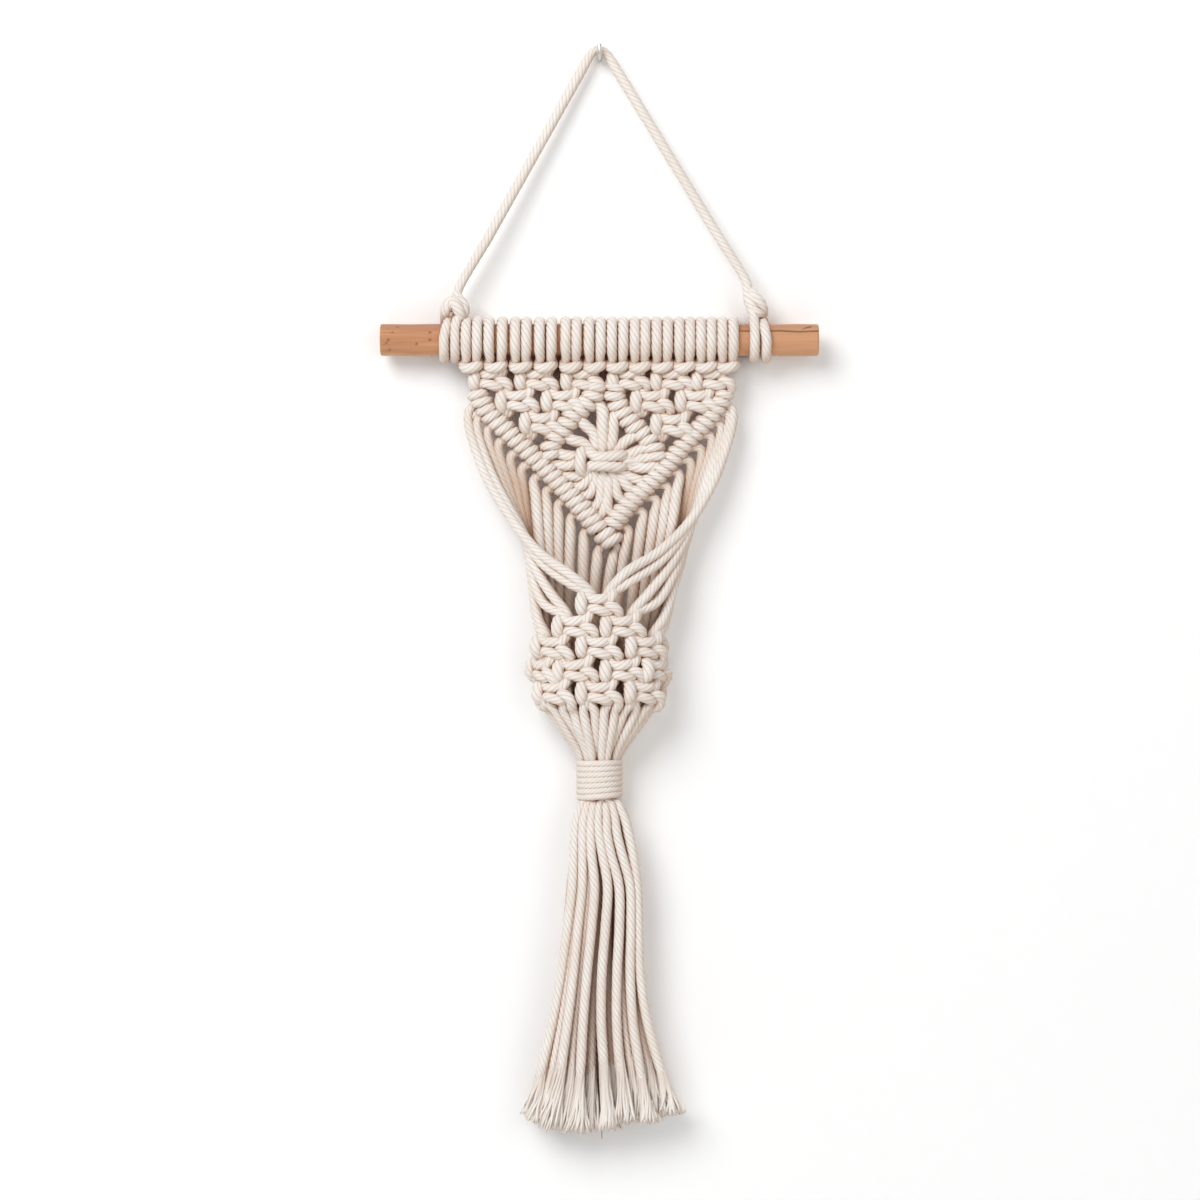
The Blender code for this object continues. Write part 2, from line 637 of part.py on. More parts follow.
# ---------------------------------------------------------------- gathering wrap and tassel
def build_wrap(finish):
    """Seven turns of cord round the gathered strands, as one ridged sleeve that leans a little."""
    bm = bmesh.new()
    height = WRAP_TOP_Z - WRAP_BOTTOM_Z
    stations = [(0.0, WRAP_CORD_R * 0.4)]
    for turn in range(WRAP_TURNS):
        stations.append(((turn + 0.5) / WRAP_TURNS, 0.0))
        stations.append(((turn + 1) / WRAP_TURNS, WRAP_CORD_R * 0.4))
    sides = 12

    def ring(share, inset, bore=False):
        points = []
        for k in range(sides):
            a = 2 * math.pi * k / sides
            half_width, half_depth = WRAP_HALF_WIDTH - inset, WRAP_HALF_DEPTH - inset
            if bore:
                half_width, half_depth = CORE_HALF_WIDTH + GAP, CORE_HALF_DEPTH + GAP
            points.append(Vector((half_width * math.sin(a), PANEL_Y - half_depth * math.cos(a),
                                  WRAP_TOP_Z - share * height)))
        return points

    rings = [ring(share, inset) for share, inset in stations]
    rings += [ring(1.0, 0, bore=True), ring(0.0, 0, bore=True)]
    skin_rings(bm, rings, closed=True)
    return add_object("gather_wrap", bm, finish)


def tassel_section(z_mm):
    """The tassel's middle, half width and half depth at a height."""
    z_mm = min(z_mm, TASSEL_MM[0][0])
    for upper, lower in zip(TASSEL_MM, TASSEL_MM[1:]):
        if lower[0] <= z_mm <= upper[0]:
            share = (upper[0] - z_mm) / (upper[0] - lower[0])
            return [u + (w - u) * share for u, w in zip(upper[1:], lower[1:])]
    return TASSEL_MM[-1][1:]


def lock(bm, middles, sizes):
    """A four-sided strand that hangs: a rectangle round each middle, of that width and depth."""
    rings = []
    for middle, (width, depth) in zip(middles, sizes):
        corners = ((-1, -1), (1, -1), (1, 1), (-1, 1))
        rings.append([middle + Vector((x * width / 2, y * depth / 2, 0)) for x, y in corners])
    skin_rings(bm, rings)


def build_tassel(finish):
    """The gathered head inside the wrap, and 24 four-sided strands that widen where their ends are brushed out."""
    bm = bmesh.new()
    sizes = [(width * MM, depth * MM) for _, width, depth in TASSEL_STRAND_MM]
    for row, count in enumerate(TASSEL_ROWS):
        depth = 1 - 2 * row / (len(TASSEL_ROWS) - 1)
        for i in range(count):
            reach = 1.0 if count == max(TASSEL_ROWS) else TASSEL_INNER_ROW_SHARE
            place = (2 * i / (count - 1) - 1) * reach
            round_off = math.sqrt(1 - 0.45 * place * place)
            rise = 4.5 * place * place + 1.5 * ((3 * i + row) % 4 - 1.5)
            middles = []
            for z, _, _ in TASSEL_STRAND_MM:
                x, half_width, half_depth = tassel_section(z)
                y = PANEL_Y - half_depth * depth * round_off * MM
                middles.append(Vector(((x + half_width * place) * MM, y, z * MM)))
            middles[-1].z += rise * MM
            lock(bm, middles, sizes)
    head = bmesh.new()
    sides = 12
    rings = []
    for z, width, depth in (
        (WRAP_TOP_Z, CORE_HALF_WIDTH, CORE_HALF_DEPTH),
        (WRAP_BOTTOM_Z - 1 * MM, CORE_HALF_WIDTH, CORE_HALF_DEPTH),
        (TASSEL_HEAD_END_Z, CORE_HALF_WIDTH, CORE_HALF_DEPTH * 0.9),
    ):
        rings.append(level_ring(z, width, depth, sides))
    skin_rings(head, rings)
    return fused("tassel", bm, head, finish)


def main():
    for old in list(bpy.data.objects):
        bpy.data.objects.remove(old, do_unlink=True)
    wood = material("dowel_wood", (0.60, 0.31, 0.17), 0.6)
    metal = material("hook_metal", (0.72, 0.70, 0.66), 0.3, metallic=1.0)
    cotton = material("cotton_cord", (0.80, 0.71, 0.62), 0.95)
    build_dowel(wood)
    build_hook(metal)
    build_hanger(cotton)
    build_panel(cotton)
    build_pocket(cotton)
    build_wrap(cotton)
    build_tassel(cotton)


main()
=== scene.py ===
"""The looks of a macrame wall hanging: twelve folded three-ply cotton cords, each one continuous rope from
its lark's head on the dowel through every knot to its two brushed ends.

A strand is half a folded cord. Each strand collects the points that its middle line passes, knot by knot, and
is then drawn as a rope. Lengths are in millimetres until the meshes are made, +Z is up and -Y is the front.
"""

import math

import bpy
import numpy as np
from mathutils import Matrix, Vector


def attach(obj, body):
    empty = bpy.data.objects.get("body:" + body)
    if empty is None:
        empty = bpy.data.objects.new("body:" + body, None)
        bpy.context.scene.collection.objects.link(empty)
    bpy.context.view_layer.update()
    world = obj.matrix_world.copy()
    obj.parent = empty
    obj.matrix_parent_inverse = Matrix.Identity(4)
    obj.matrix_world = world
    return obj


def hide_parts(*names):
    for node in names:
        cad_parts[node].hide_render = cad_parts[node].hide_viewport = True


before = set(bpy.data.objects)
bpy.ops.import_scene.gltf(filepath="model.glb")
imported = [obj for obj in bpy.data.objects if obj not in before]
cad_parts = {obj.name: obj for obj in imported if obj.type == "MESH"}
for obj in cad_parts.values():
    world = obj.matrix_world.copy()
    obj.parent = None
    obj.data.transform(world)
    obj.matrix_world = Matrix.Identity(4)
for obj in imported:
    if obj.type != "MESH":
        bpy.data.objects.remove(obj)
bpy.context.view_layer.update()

MM = 0.001
UP = np.array((0.0, 0.0, 1.0))
FRONT = np.array((0.0, -1.0, 0.0))
RIGHT = np.array((1.0, 0.0, 0.0))
FULL_TURN = 2 * math.pi

# ---------------- sizes, in millimetres, as in the solids
CORD_R = 2.6
LOOSE_R = 2.9  # below the V, where the cord opens a little
DOWEL_R = 8.0
DOWEL_LENGTH = 219.0
DOWEL_Z = -142.0
PANEL_Y = -13.0  # the dowel's axis and the panel's strands
POCKET_Y = -19.5  # the middle of the pocket's rings
POCKET_KNOTS = 6  # square knots in a full ring
TURN_R = 9.35  # from the dowel's axis to the middle of a cord round it
KNOT_R = 2.75  # a strand in a knot, where it flattens
BUMP_R = 3.3  # where it opens over the side of one
HITCH_R = 2.35
HITCH_REACH = 3.15  # from a band's middle line to the middle of the strand round it
LEADER_R = 2.1
PINCHED_R = 1.75  # a strand inside the gathering wrap
TWIST_PITCH = 20.0
PLIES, PLY_POINTS = 3, 6  # and the points of the section round each ply, its groove included
GROOVE, GROOVE_WIDTH = 0.15, 16.0  # between plies: depth as a share of the radius, and width in degrees
YARN_GROOVE, YARN_GROOVE_WIDTH = 0.12, 13.0  # along the middle of each ply
UV_LENGTH = 10.0  # of cord, in the texture's unit along it
WALL_GAP = 0.25  # between the wall and a cord that leans on it
CORD_COUNT = 12

HOOK_WIRE_R = 1.1
HOOK_REACH = 11.0
HOOK_TIP_Z = 6.5
HOOK_BEND, HOOK_DOME = 2.4, 0.7  # radii of its bend and of its tip's edge
HANGER_APEX = np.array((-0.3, -5.6, 4.0))
HANGER_BEND_R = 5.0

WRAP_TOP_Z = -351.5
WRAP_BOTTOM_Z = -374.0
WRAP_HALF_WIDTH = 11.85
WRAP_HALF_DEPTH = 12.3
WRAP_CORD_R = 1.85
WRAP_TURNS = 7
WRAP_STEPS, WRAP_TUCKED = 20, 4  # to a turn, and beyond the turns where the ends tuck in

# ---------------- tables, in millimetres
# Where each of the 24 strands passes over the dowel, and the middle of each of the twelve bars below it.
WRAPS_X = (
    -66.6, -61.1, -55.2, -48.5, -42, -36.5, -29.9, -23.9, -16.8, -11.5, -5.2, 0.6,
    6.2, 11.9, 17.6, 22.8, 28.5, 34, 39.8, 45.2, 50.6, 55.8, 61.2, 66.7,
)
LARKS_HEADS_X = (-63.9, -51.8, -39.3, -26.9, -14.15, -2.35, 9, 20.2, 31.3, 42.5, 53.2, 64)
LARKS_BAR_Z = -156.4
# Half a lark's head: the bar in front, from its middle outwards: x, y, height over the bar, how much the bar
# leans there, and radius,
LARKS_BAR = ((0, -19.6, 0, 0, 2.8), (3, -18.8, 0.5, 0.7, KNOT_R), (4.3, -15.6, 2.2, 0, 2.2))
# the turn over the dowel: degrees up from its front, distance from its axis and radius,
LARKS_TURN = ((-80, TURN_R + 0.6, 2.5), *((a, TURN_R, 2.85) for a in (-125, 180, 135, 90, 45, 0, -32)))
# and the strand's way down behind the bar: y, height over the bar and radius.
LARKS_FOOT = ((-17.6, 4.2, 2.3), (-14.8, -0.2, 2.2))
LARKS_FOOT_X = 2.0  # it leans in towards this distance from the bar's middle

# Square knots of the panel in the order that they are tied: middle x and z, and the first of their strands.
PANEL_KNOTS = (
    (-54.2, -161.9, 1), (-31.2, -161.9, 5), (-8.2, -161.9, 9), (15, -161.9, 13), (36.6, -161.9, 17),
    (57, -161.9, 21), (-40.8, -172.7, 3), (-18, -172.7, 7), (26.6, -172.9, 15), (48.9, -172.9, 19),
    (-28.8, -184, 5), (36.7, -184.8, 17),
)

# Bands of double half hitches: the points along each one's middle, x and z, its leader, and the strands
# hitched on it from its top to its foot.
BANDS = {
    "inner_left": (
        ((-1.3, -163.5), (-4.3, -171.5), (-13, -179), (-18.3, -186.5), (-24.2, -194), (-24.4, -201.5)),
        12, (11, 10, 9, 8, 7),
    ),
    "inner_right": (
        ((7.8, -163.5), (7.4, -170.5), (11.3, -177.5), (17.5, -185), (26, -193.5), (29.5, -202)),
        13, (14, 15, 16, 17, 18),
    ),
    "outer_left": (
        ((-61.8, -167.5), (-55.9, -177.5), (-38.8, -194.5), (-23.8, -209.5), (-9.8, -225), (0.5, -237.5)),
        1, (2, 3, 4, 5, 6, 12, 7, 8, 9, 10, 11),
    ),
    "outer_right": (
        ((63, -167.5), (57, -178), (43.8, -192.5), (29.8, -209), (16.8, -221.5), (5.5, -235.5)),
        24, (23, 22, 21, 20, 19, 13, 18, 17, 16, 15, 14),
    ),
}
JOINING_KNOT = (4.6, -241)
FLOWER_KNOT = (2.2, -202.9)
FLOWER_SIZE = (23.8, 13, 8.6)
# The flower's strands: x and z of the points that each passes above its knot, and of those below it.
PETALS = {
    7: (((-19.3, -204.8), (-13.5, -204.3)), ((-6.8, -209), (-14.8, -210.4))),
    8: (((-19.8, -199), (-12.5, -200.3)), ((-4.6, -209.4), (-9.6, -215.4))),
    9: (((-14.8, -191.5), (-8.2, -193.6), (-4.4, -197.4)), ((-2, -210.2), (-5.4, -219.4))),
    10: (((-8, -184), (-3.2, -188.4), (-1.4, -196.6)), ((0.6, -210.4), (-1, -224.6))),
    11: (((1.2, -176.5), (1.6, -184), (1.5, -196.6)), ((2.4, -210.2), (1.6, -228.4))),
    14: (((7.2, -181), (6.8, -187.5), (5.4, -196.8)), ((4.8, -210.4), (4.6, -227.6))),
    15: (((17, -189.6), (12.8, -192.8), (8.6, -197.4)), ((7.4, -210.2), (9.4, -220.4))),
    16: (((25.5, -194.6), (19.4, -197.4), (13.5, -199.8)), ((9.8, -209.6), (15.4, -216.4))),
    17: (((26.8, -199.8), (20.5, -201.4), (14.5, -202.8)), ((12.4, -209), (20, -212.2))),
    18: (((27, -205), (20, -206)), ((19, -204.6), (25, -206.4))),
}

# The order of the strands along the V's lower edge, and where they leave it, left to right.
BELOW = (2, 3, 4, 5, 6, 12, 7, 8, 9, 10, 11, 24, 1, 14, 15, 16, 17, 18, 13, 19, 20, 21, 22, 23)
STRAND_TOPS = (
    (-65.2, -177), (-60.8, -181), (-55.6, -186.3), (-50, -192.8), (-44, -199.3), (-38.4, -205.4),
    (-32.6, -211.2), (-26.6, -217.2), (-20.6, -223.8), (-14.2, -230.4), (-7.6, -238.2), (-0.6, -247),
    (7.6, -247.4), (14.6, -237), (21.8, -228.2), (28.4, -221.8), (34.2, -215.4), (39.6, -208.6),
    (45, -202.4), (50.4, -196.2), (55.6, -190), (60.2, -184), (64.2, -179.2), (66.2, -176.2),
)
# Places along that edge whose strands come forward round the pocket, and what each passes on its way.
FORWARD = {
    0: ((-59.2, -15, -204), (-45.5, -18.5, -229), (-30.5, -26, -248), (-14, -33.5, -260)),
    1: ((-55.5, -14.2, -205), (-41.5, -18, -232.5), (-29.5, -25, -252.5), (-13.5, -32.5, -264.5)),
    2: ((-50.5, -11, -208), (-38, -14.5, -239), (-31.5, -23, -257), (-24, -28.5, -269)),
    3: ((-46.2, -10, -212), (-36.6, -12.5, -243), (-32.6, -21.5, -262), (-27.5, -26, -274)),
    4: ((-41.5, -9, -215), (-35.5, -11.5, -247), (-33, -19, -268), (-29.8, -22.5, -283)),
    5: ((-37, -8.5, -219), (-34, -10, -251), (-32.6, -16.5, -272), (-30.5, -20, -285)),
    23: ((60.5, -15, -204), (46, -18.5, -231.5), (29.5, -26, -248), (13, -33.5, -258.5)),
    22: ((57, -14.2, -206.5), (44, -18, -235.5), (30.5, -25, -252.5), (14, -32.5, -263.5)),
    21: ((54, -14, -209.5), (43.3, -17.5, -240), (34, -23, -256.5), (24.5, -28.5, -268.5)),
    20: ((51, -12, -212.5), (42.6, -14, -244.5), (36, -21.5, -260.5), (28.5, -26, -273)),
    19: ((47.3, -10, -216.5), (41.6, -12, -248.5), (36.5, -19, -267), (31.8, -22.5, -281)),
    18: ((43.2, -9, -221), (39, -10, -252.5), (35.5, -16.5, -271), (32, -20, -285)),
}

# The pocket's rows: height, half width and half depth, and each knot's place round it in sixths from the
# middle of the front, with the first of the four places along the V's edge that its strands come from.
FULL_RING = {0: 1, 1: 21, 2: 17, 3: 13, -2: 9, -1: 5}
POCKET_ROWS = (
    (-274.3, 29, 13, {0: 1}),
    (-285.2, 29, 13, {-0.5: 3, 0.5: 23}),
    (-295.6, 29, 13, FULL_RING),
    (-307, 28, 13.5, {0.5: 23, 1.3: 19, 2.5: 15, -2.5: 11, -1.3: 7, -0.5: 3}),
    (-318, 27.5, 13.5, FULL_RING),
)

# The gathered stretch from the last ring to the tassel: height, half width, half depth, middle y, radius.
NECK_OUTER = (
    (-326, 26, 13.6, -19, 2.55),
    (-336, 18.6, 12.8, -16.4, 2.6),
    (-345.5, 11.6, 10.8, -13.8, 2.45),
    (-350.2, 9.3, 9.4, -13.2, 2.2),
    (-356, 7, 7.2, -13, PINCHED_R),
    (-364, 6.8, 7, -13, PINCHED_R),
    (-371, 7, 7.2, -13, PINCHED_R),
)
INNER_SHARE = 0.52  # how far out every third strand runs inside the wrap

# The tassel's outline: height, its middle, half width and half depth between the outermost strands' middles.
TASSEL = (
    (-373, 0.5, 8.4, 7.4),
    (-376, 0.9, 9.9, 8.4),
    (-381, 0.9, 12.2, 9),
    (-388, 1.3, 13.4, 9.3),
    (-398, 1.6, 14.3, 9.5),
    (-416.5, 1.8, 16, 9.7),
    (-440, 1.2, 18, 9.8),
    (-472, 0.2, 21.4, 9.7),
    (-500, 0.6, 27.4, 9.6),
    (-520, 0.8, 32.8, 9.5),
    (-537, 1, 36, 9.2),
)
# How far strands of the second and third row push forward between those in front: row, place and distance.
PUSHED = {(1, 0): 3.2, (1, 1): 2.6, (1, 4): 1.5, (2, 4): 5.5, (2, 3): 3.0}
# The places of the strands across each row, front to back, as shares of the half width there.
TASSEL_ROWS = (
    (-1.0, -0.67, -0.33, 0.0, 0.33, 0.67, 1.0),
    (-0.82, -0.49, -0.16, 0.18, 0.52),
    (-0.54, -0.18, 0.15, 0.49, 0.82),
    (-0.96, -0.65, -0.33, 0.0, 0.33, 0.65, 0.96),
)
FRONT_ROW = (
    # height, and the x of each front strand there
    (-374, -8.6, -5.9, -3.1, -0.3, 2.7, 5.8, 9.2),
    (-381, -11.3, -7.9, -4.4, -0.6, 3.5, 7.8, 12.6),
    (-390, -12.3, -8.6, -4.4, -0.2, 4.2, 9, 14.6),
    (-416.5, -13.6, -8.4, -2, 4.2, 10, 15.4, 18.6),
    (-471, -20.8, -14.3, -8, 0.6, 7.8, 15.3, 21.3),
    (-520, -31.8, -21.8, -9.8, 2.8, 12.2, 22.4, 33.4),
)
STRAND_STOPS_Z = (-373.5, -376.5, -381, -388, -398, -414, -434, -458, -482, -503, -514)
STRAND_RADII = ((-373, 1.95), (-378, 2.3), (-388, CORD_R), (-503, CORD_R), (-514, 1.9))  # height, radius
THICK_YARNS, YARNS = 32, 42  # brushed out of each strand's end
YARN_SIDES, YARN_STEPS = 5, 9
YARNS_REACH = 1.95  # of a strand's yarns from its middle, where they start to open
FRINGE_Z = -532.0
# The fringe's lower edge, left to right: x and z.
FRINGE_EDGE = (
    (-36.5, -528), (-28.8, -533), (-20.3, -535.5), (-10.8, -538.6), (-3.8, -537), (5.3, -536),
    (12.8, -533.5), (23.8, -532.5), (32.5, -530.5), (38.5, -529),
)

# A square knot's strands in shares of its width, height and depth. The left strand makes both bars on the
# front, and the right one the upright bump on the left and the curved run out on the right.
KNOT_LEFT = (
    (-0.42, 0.56, 0.0), (-0.33, 0.34, 0.16), (-0.15, 0.2, 0.42), (0.1, 0.25, 0.47), (0.25, 0.31, 0.24),
    (0.33, 0.14, -0.08), (0.33, -0.12, -0.08), (0.27, -0.32, 0.22), (0.1, -0.27, 0.46), (-0.14, -0.17, 0.44),
    (-0.32, -0.2, 0.14), (-0.42, -0.54, 0.0),
)
KNOT_RIGHT = (
    (0.42, 0.58, 0.0), (0.36, 0.4, 0.32), (0.29, 0.2, 0.34), (0.16, 0.08, -0.2), (-0.12, 0.14, -0.42),
    (-0.36, 0.3, -0.24), (-0.48, 0.4, 0.1), (-0.51, 0.16, 0.4), (-0.51, -0.14, 0.4),
    (-0.47, -0.38, 0.1), (-0.3, -0.36, -0.28), (0.0, -0.2, -0.42), (0.15, -0.08, -0.25),
    (0.17, 0.01, 0.18), (0.34, -0.04, 0.43), (0.51, -0.2, 0.38), (0.55, -0.4, 0.16), (0.49, -0.6, 0.0),
)
# The flower's own left strand, with straighter bars,
FLOWER_LEFT = (
    (-0.33, 0.34, 0.16), (-0.15, 0.165, 0.42), (0.1, 0.175, 0.48), (0.34, 0.24, 0.36),
    (0.47, 0.16, -0.08), (0.45, -0.12, -0.08), (0.33, -0.2, 0.3), (0.1, -0.18, 0.47),
    (-0.14, -0.165, 0.44), (-0.32, -0.19, 0.14),
)
# and its right strand, which comes in and leaves between the ends of the two bars.
FLOWER_RIGHT = (
    (0.44, -0.1, -0.1), (0.24, 0.04, -0.42), (-0.12, 0.14, -0.46), (-0.36, 0.34, -0.24),
    (-0.46, 0.42, 0.1), (-0.49, 0.16, 0.42), (-0.49, -0.16, 0.42), (-0.46, -0.42, 0.1),
    (-0.28, -0.36, -0.32), (0.08, -0.12, -0.46), (0.34, 0.02, -0.2), (0.46, 0.06, 0.12),
)
# The hanger cord's knots, left and right: the points down from its leg, the x of its turns round the dowel,
# and the points of its tail. Each point is x, y, z and the cord's radius there.
HANGER_KNOTS = ((
    ((-71.3, -13, -118.8, 2.5), (-70.8, -14, -121, 2.8), (-68.9, -15.4, -123.8, 3.2),
     (-67.6, -15.8, -127, 3.3), (-68.6, -16, -129.8, 3), (-70.9, -18.4, -132, 2.6)),
    (-72, -77.4),
    ((-77.2, -13, -130.4, 2.7), (-76.7, -16.2, -127.4, 3.2), (-75.6, -17.2, -124.6, 3.3),
     (-73.4, -17.8, -123, 3.2), (-71.2, -19.2, -125.6, 3.1), (-69.6, -19, -128.8, 2.9),
     (-68.6, -16.2, -131.8, 2.4), (-70.4, -11.6, -131, 2.4), (-73.8, -13.6, -130.2, 2.8),
     (-74.4, -15.6, -127.2, 2.8)),
), (
    ((73.6, -13, -113.5, 2.5), (74.2, -13.4, -117.5, 2.9), (75, -15.4, -121.8, 3.4),
     (76.2, -16.6, -126, 3.2), (77, -18.8, -130.6, 2.7)),
    (77.4, 83.2),
    ((81.6, -12.4, -130.6, 2.5), (81.6, -14.6, -127.4, 3), (80.2, -15.8, -124, 3.2),
     (77.8, -16.2, -120.8, 2.9), (75.6, -13.6, -117.6, 2.5), (74, -10.2, -118.8, 2.3),
     (74.6, -9.2, -122.6, 2.3), (77.6, -9.4, -126, 2.3), (80.6, -12.8, -128.4, 2.3),
     (80.4, -18, -129.4, 2.2), (77.6, -19.6, -127.6, 2.1), (75.4, -15.6, -126.4, 2)),
))
PANEL_KNOT_SIZE = (16.4, 11.6, 7.8)
POCKET_KNOT_SIZE = (17.6, 11.7, 7.8)
# A square knot's middle strands, in the same shares, on the left of its middle.
KNOT_CORE = ((-0.225, 0.46, 0), (-0.15, 0, -0.04), (-0.255, -0.46, 0))
CORE_R = 2.5
HITCH_TURNS = range(-60, 571, 45)  # degrees round the line, from its upper side over its front
HITCH_MIDDLE = 270
# The flower's eight middle strands: their reach to each side and up, as shares, and their two layers.
FLOWER_CORE = (8, 9, 10, 11, 14, 15, 16, 17)
FLOWER_CORE_X, FLOWER_CORE_Z, FLOWER_LAYERS, FLOWER_CORE_R = 0.3, 0.25, (-1.8, 1.2), 1.9
# Where a knot's four strands come in from above and leave below, in sixths from its middle.
KNOT_ENTRIES = (-0.32, -0.1, 0.1, 0.32)
KNOT_EXITS = (-0.375, -0.125, 0.125, 0.375)
SWAY = 0.6  # of a tassel's strand to either side


# ---------------- curves
def distances(rows, power=1.0):
    """How far along the line each row lies, its steps raised to that power."""
    return np.concatenate(([0.0], np.cumsum(np.linalg.norm(np.diff(rows[:, :3], axis=0), axis=1) ** power)))


def smooth(rows, step):
    """Evenly spaced rows along a centripetal Catmull-Rom curve through the given rows of x, y, z, radius."""
    rows = np.asarray(rows, float)
    rows = np.vstack((2 * rows[0] - rows[1], rows, 2 * rows[-1] - rows[-2]))
    knots = distances(rows, 0.5)
    pieces = []
    for i in range(1, len(rows) - 2):
        span = np.linalg.norm(rows[i + 1, :3] - rows[i, :3])
        t = np.linspace(knots[i], knots[i + 1], max(3, int(span / 0.5)), endpoint=False)[:, None]
        level, at = rows[i - 1:i + 3], knots[i - 1:i + 3]
        for spans in (((0, 1), (1, 2), (2, 3)), ((0, 2), (1, 3)), ((1, 2),)):
            level = [((at[b] - t) * level[k] + (t - at[a]) * level[k + 1]) / (at[b] - at[a])
                     for k, (a, b) in enumerate(spans)]
        pieces.append(level[0])
    dense = np.vstack((*pieces, rows[-2:-1]))
    return evenly(rounded(evenly(dense, 0.6), 5), step)


def rounded(rows, passes):
    """The rows with their tightest bends eased, as a soft cord would."""
    for _ in range(passes):
        rows[1:-1] += 0.25 * (rows[2:] + rows[:-2] - 2 * rows[1:-1])
    return rows


def evenly(rows, step):
    """The rows resampled at equal distances."""
    along = distances(rows)
    places = np.linspace(0.0, along[-1], max(3, int(round(along[-1] / step)) + 1))
    return np.column_stack([np.interp(places, along, rows[:, k]) for k in range(rows.shape[1])])


def frames_along(points):
    """Two directions square to the curve at each point, carried along it without twisting."""
    tangents = np.gradient(points, axis=0)
    tangents /= np.linalg.norm(tangents, axis=1)[:, None]
    side = FRONT if abs(tangents[0] @ FRONT) < 0.9 else UP
    sides = np.empty_like(points)
    for i, tangent in enumerate(tangents):
        side = side - tangent * (side @ tangent)
        side = side / math.sqrt(side @ side)
        sides[i] = side
    return sides, np.cross(tangents, sides)


class Line:
    """A smooth line in the panel's plane, read by the distance along it."""

    def __init__(self, points, forward=0.0):
        self.points = smooth([(x, PANEL_Y - forward, z, 1.0) for x, z in points], 0.5)[:, :3]
        self.along = distances(self.points)
        self.length = self.along[-1]

    def inside(self, distance):
        return np.array([np.interp(distance, self.along, self.points[:, k]) for k in range(3)])

    def at(self, distance):
        beyond = distance - min(max(distance, 0.0), self.length)
        return self.inside(distance) + self.direction(distance) * beyond

    def direction(self, distance):
        distance = min(max(distance, 1.0), self.length - 1.0)
        way = self.inside(distance + 1.0) - self.inside(distance - 1.0)
        return way / np.linalg.norm(way)


# ---------------- meshes
def placed(name, data, place=(0, 0, 0), turn=(0, 0, 0)):
    """A new object in the scene."""
    made = bpy.data.objects.new(name, data)
    made.location, made.rotation_euler = place, turn
    bpy.context.scene.collection.objects.link(made)
    return made


def mesh_object(name, points, quads, triangles, finish, uvs=None):
    """A smooth mesh object from arrays in millimetres. uvs has one row for each corner, quads first."""
    mesh = bpy.data.meshes.new(name)
    faces = [*np.asarray(quads).tolist(), *np.asarray(triangles).tolist()]
    mesh.from_pydata((np.asarray(points) * MM).tolist(), [], faces)
    if uvs is not None:
        layer = mesh.uv_layers.new(name="cord")
        layer.data.foreach_set("uv", uvs.astype(np.float32).ravel())
    mesh.shade_smooth()
    mesh.materials.append(finish)
    return placed(name, mesh)


def tube_faces(rings, around):
    """Quads between rings of points, and triangles that close both ends on the two points after the rings."""
    i, k = (grid.ravel() for grid in np.meshgrid(np.arange(rings - 1), np.arange(around), indexing="ij"))
    base, after = i * around, (k + 1) % around
    quads = np.column_stack((base + k, base + after, base + around + after, base + around + k))
    k, after = k[:around], after[:around]
    last, ends = (rings - 1) * around, rings * around
    triangles = [np.column_stack((np.full(around, ends), after, k)),
                 np.column_stack((np.full(around, ends + 1), last + k, last + after))]
    return quads, np.vstack(triangles)


def tube(name, rows, turn, share, finish, uvs=None):
    """A closed tube round rows of x, y, z, radius. turn is its points' angles and share their reach."""
    middles, reach = rows[:, :3], rows[:, 3:] * share
    sides, others = frames_along(middles)
    ring = (middles[:, None, :] + (reach * np.cos(turn))[..., None] * sides[:, None, :]
            + (reach * np.sin(turn))[..., None] * others[:, None, :])
    points = np.vstack((ring.reshape(-1, 3), middles[:1], middles[-1:]))
    return mesh_object(name, points, *tube_faces(*ring.shape[:2]), finish, uvs)


def round_bar(name, rows, sides, finish):
    """A plain round bar through rows of x, y, z, radius."""
    turn = FULL_TURN * np.arange(sides)[None, :] / sides
    return tube(name, np.asarray(rows, float), turn, 1.0, finish)


def rope_section():
    """The points round a three-ply rope: their angles, and their reach as a share of the radius."""
    ply = 360.0 / PLIES
    across = ply * np.arange(PLY_POINTS) / PLY_POINTS
    from_groove = np.minimum(across, ply - across)
    reach = 1.0 - GROOVE * np.exp(-((from_groove / GROOVE_WIDTH) ** 2))
    reach -= YARN_GROOVE * np.exp(-(((ply / 2 - from_groove) / YARN_GROOVE_WIDTH) ** 2))
    angles = np.concatenate([np.radians(ply * i + across) for i in range(PLIES)])
    return angles, np.tile(reach, PLIES)


def rope(name, rows, finish, step=1.2, pitch=TWIST_PITCH, phase=0.0):
    """A rope through rows of x, y, z, radius, whose plies wind along it. Returns it and its length."""
    rows = smooth(rows, step)
    rows[:, 1] = np.minimum(rows[:, 1], -rows[:, 3] - WALL_GAP)  # the wall flattens what leans on it
    along = distances(rows)
    angles, share = rope_section()
    turn = -FULL_TURN * along[:, None] / pitch + phase + angles
    rings, around = turn.shape
    ply, length = np.arange(around + 1) / PLY_POINTS, along / UV_LENGTH
    u0, u1 = np.tile(ply[:-1], rings - 1), np.tile(ply[1:], rings - 1)
    v0, v1 = np.repeat(length[:-1], around), np.repeat(length[1:], around)
    uvs = [np.column_stack((u0, v0, u1, v0, u1, v1, u0, v1)).reshape(-1, 2)]
    uvs += [np.repeat(np.column_stack((ply[:-1], np.full(around, v))), 3, axis=0) for v in (0.0, length[-1])]
    return tube(name, rows, turn, share, finish, np.vstack(uvs)), along[-1]


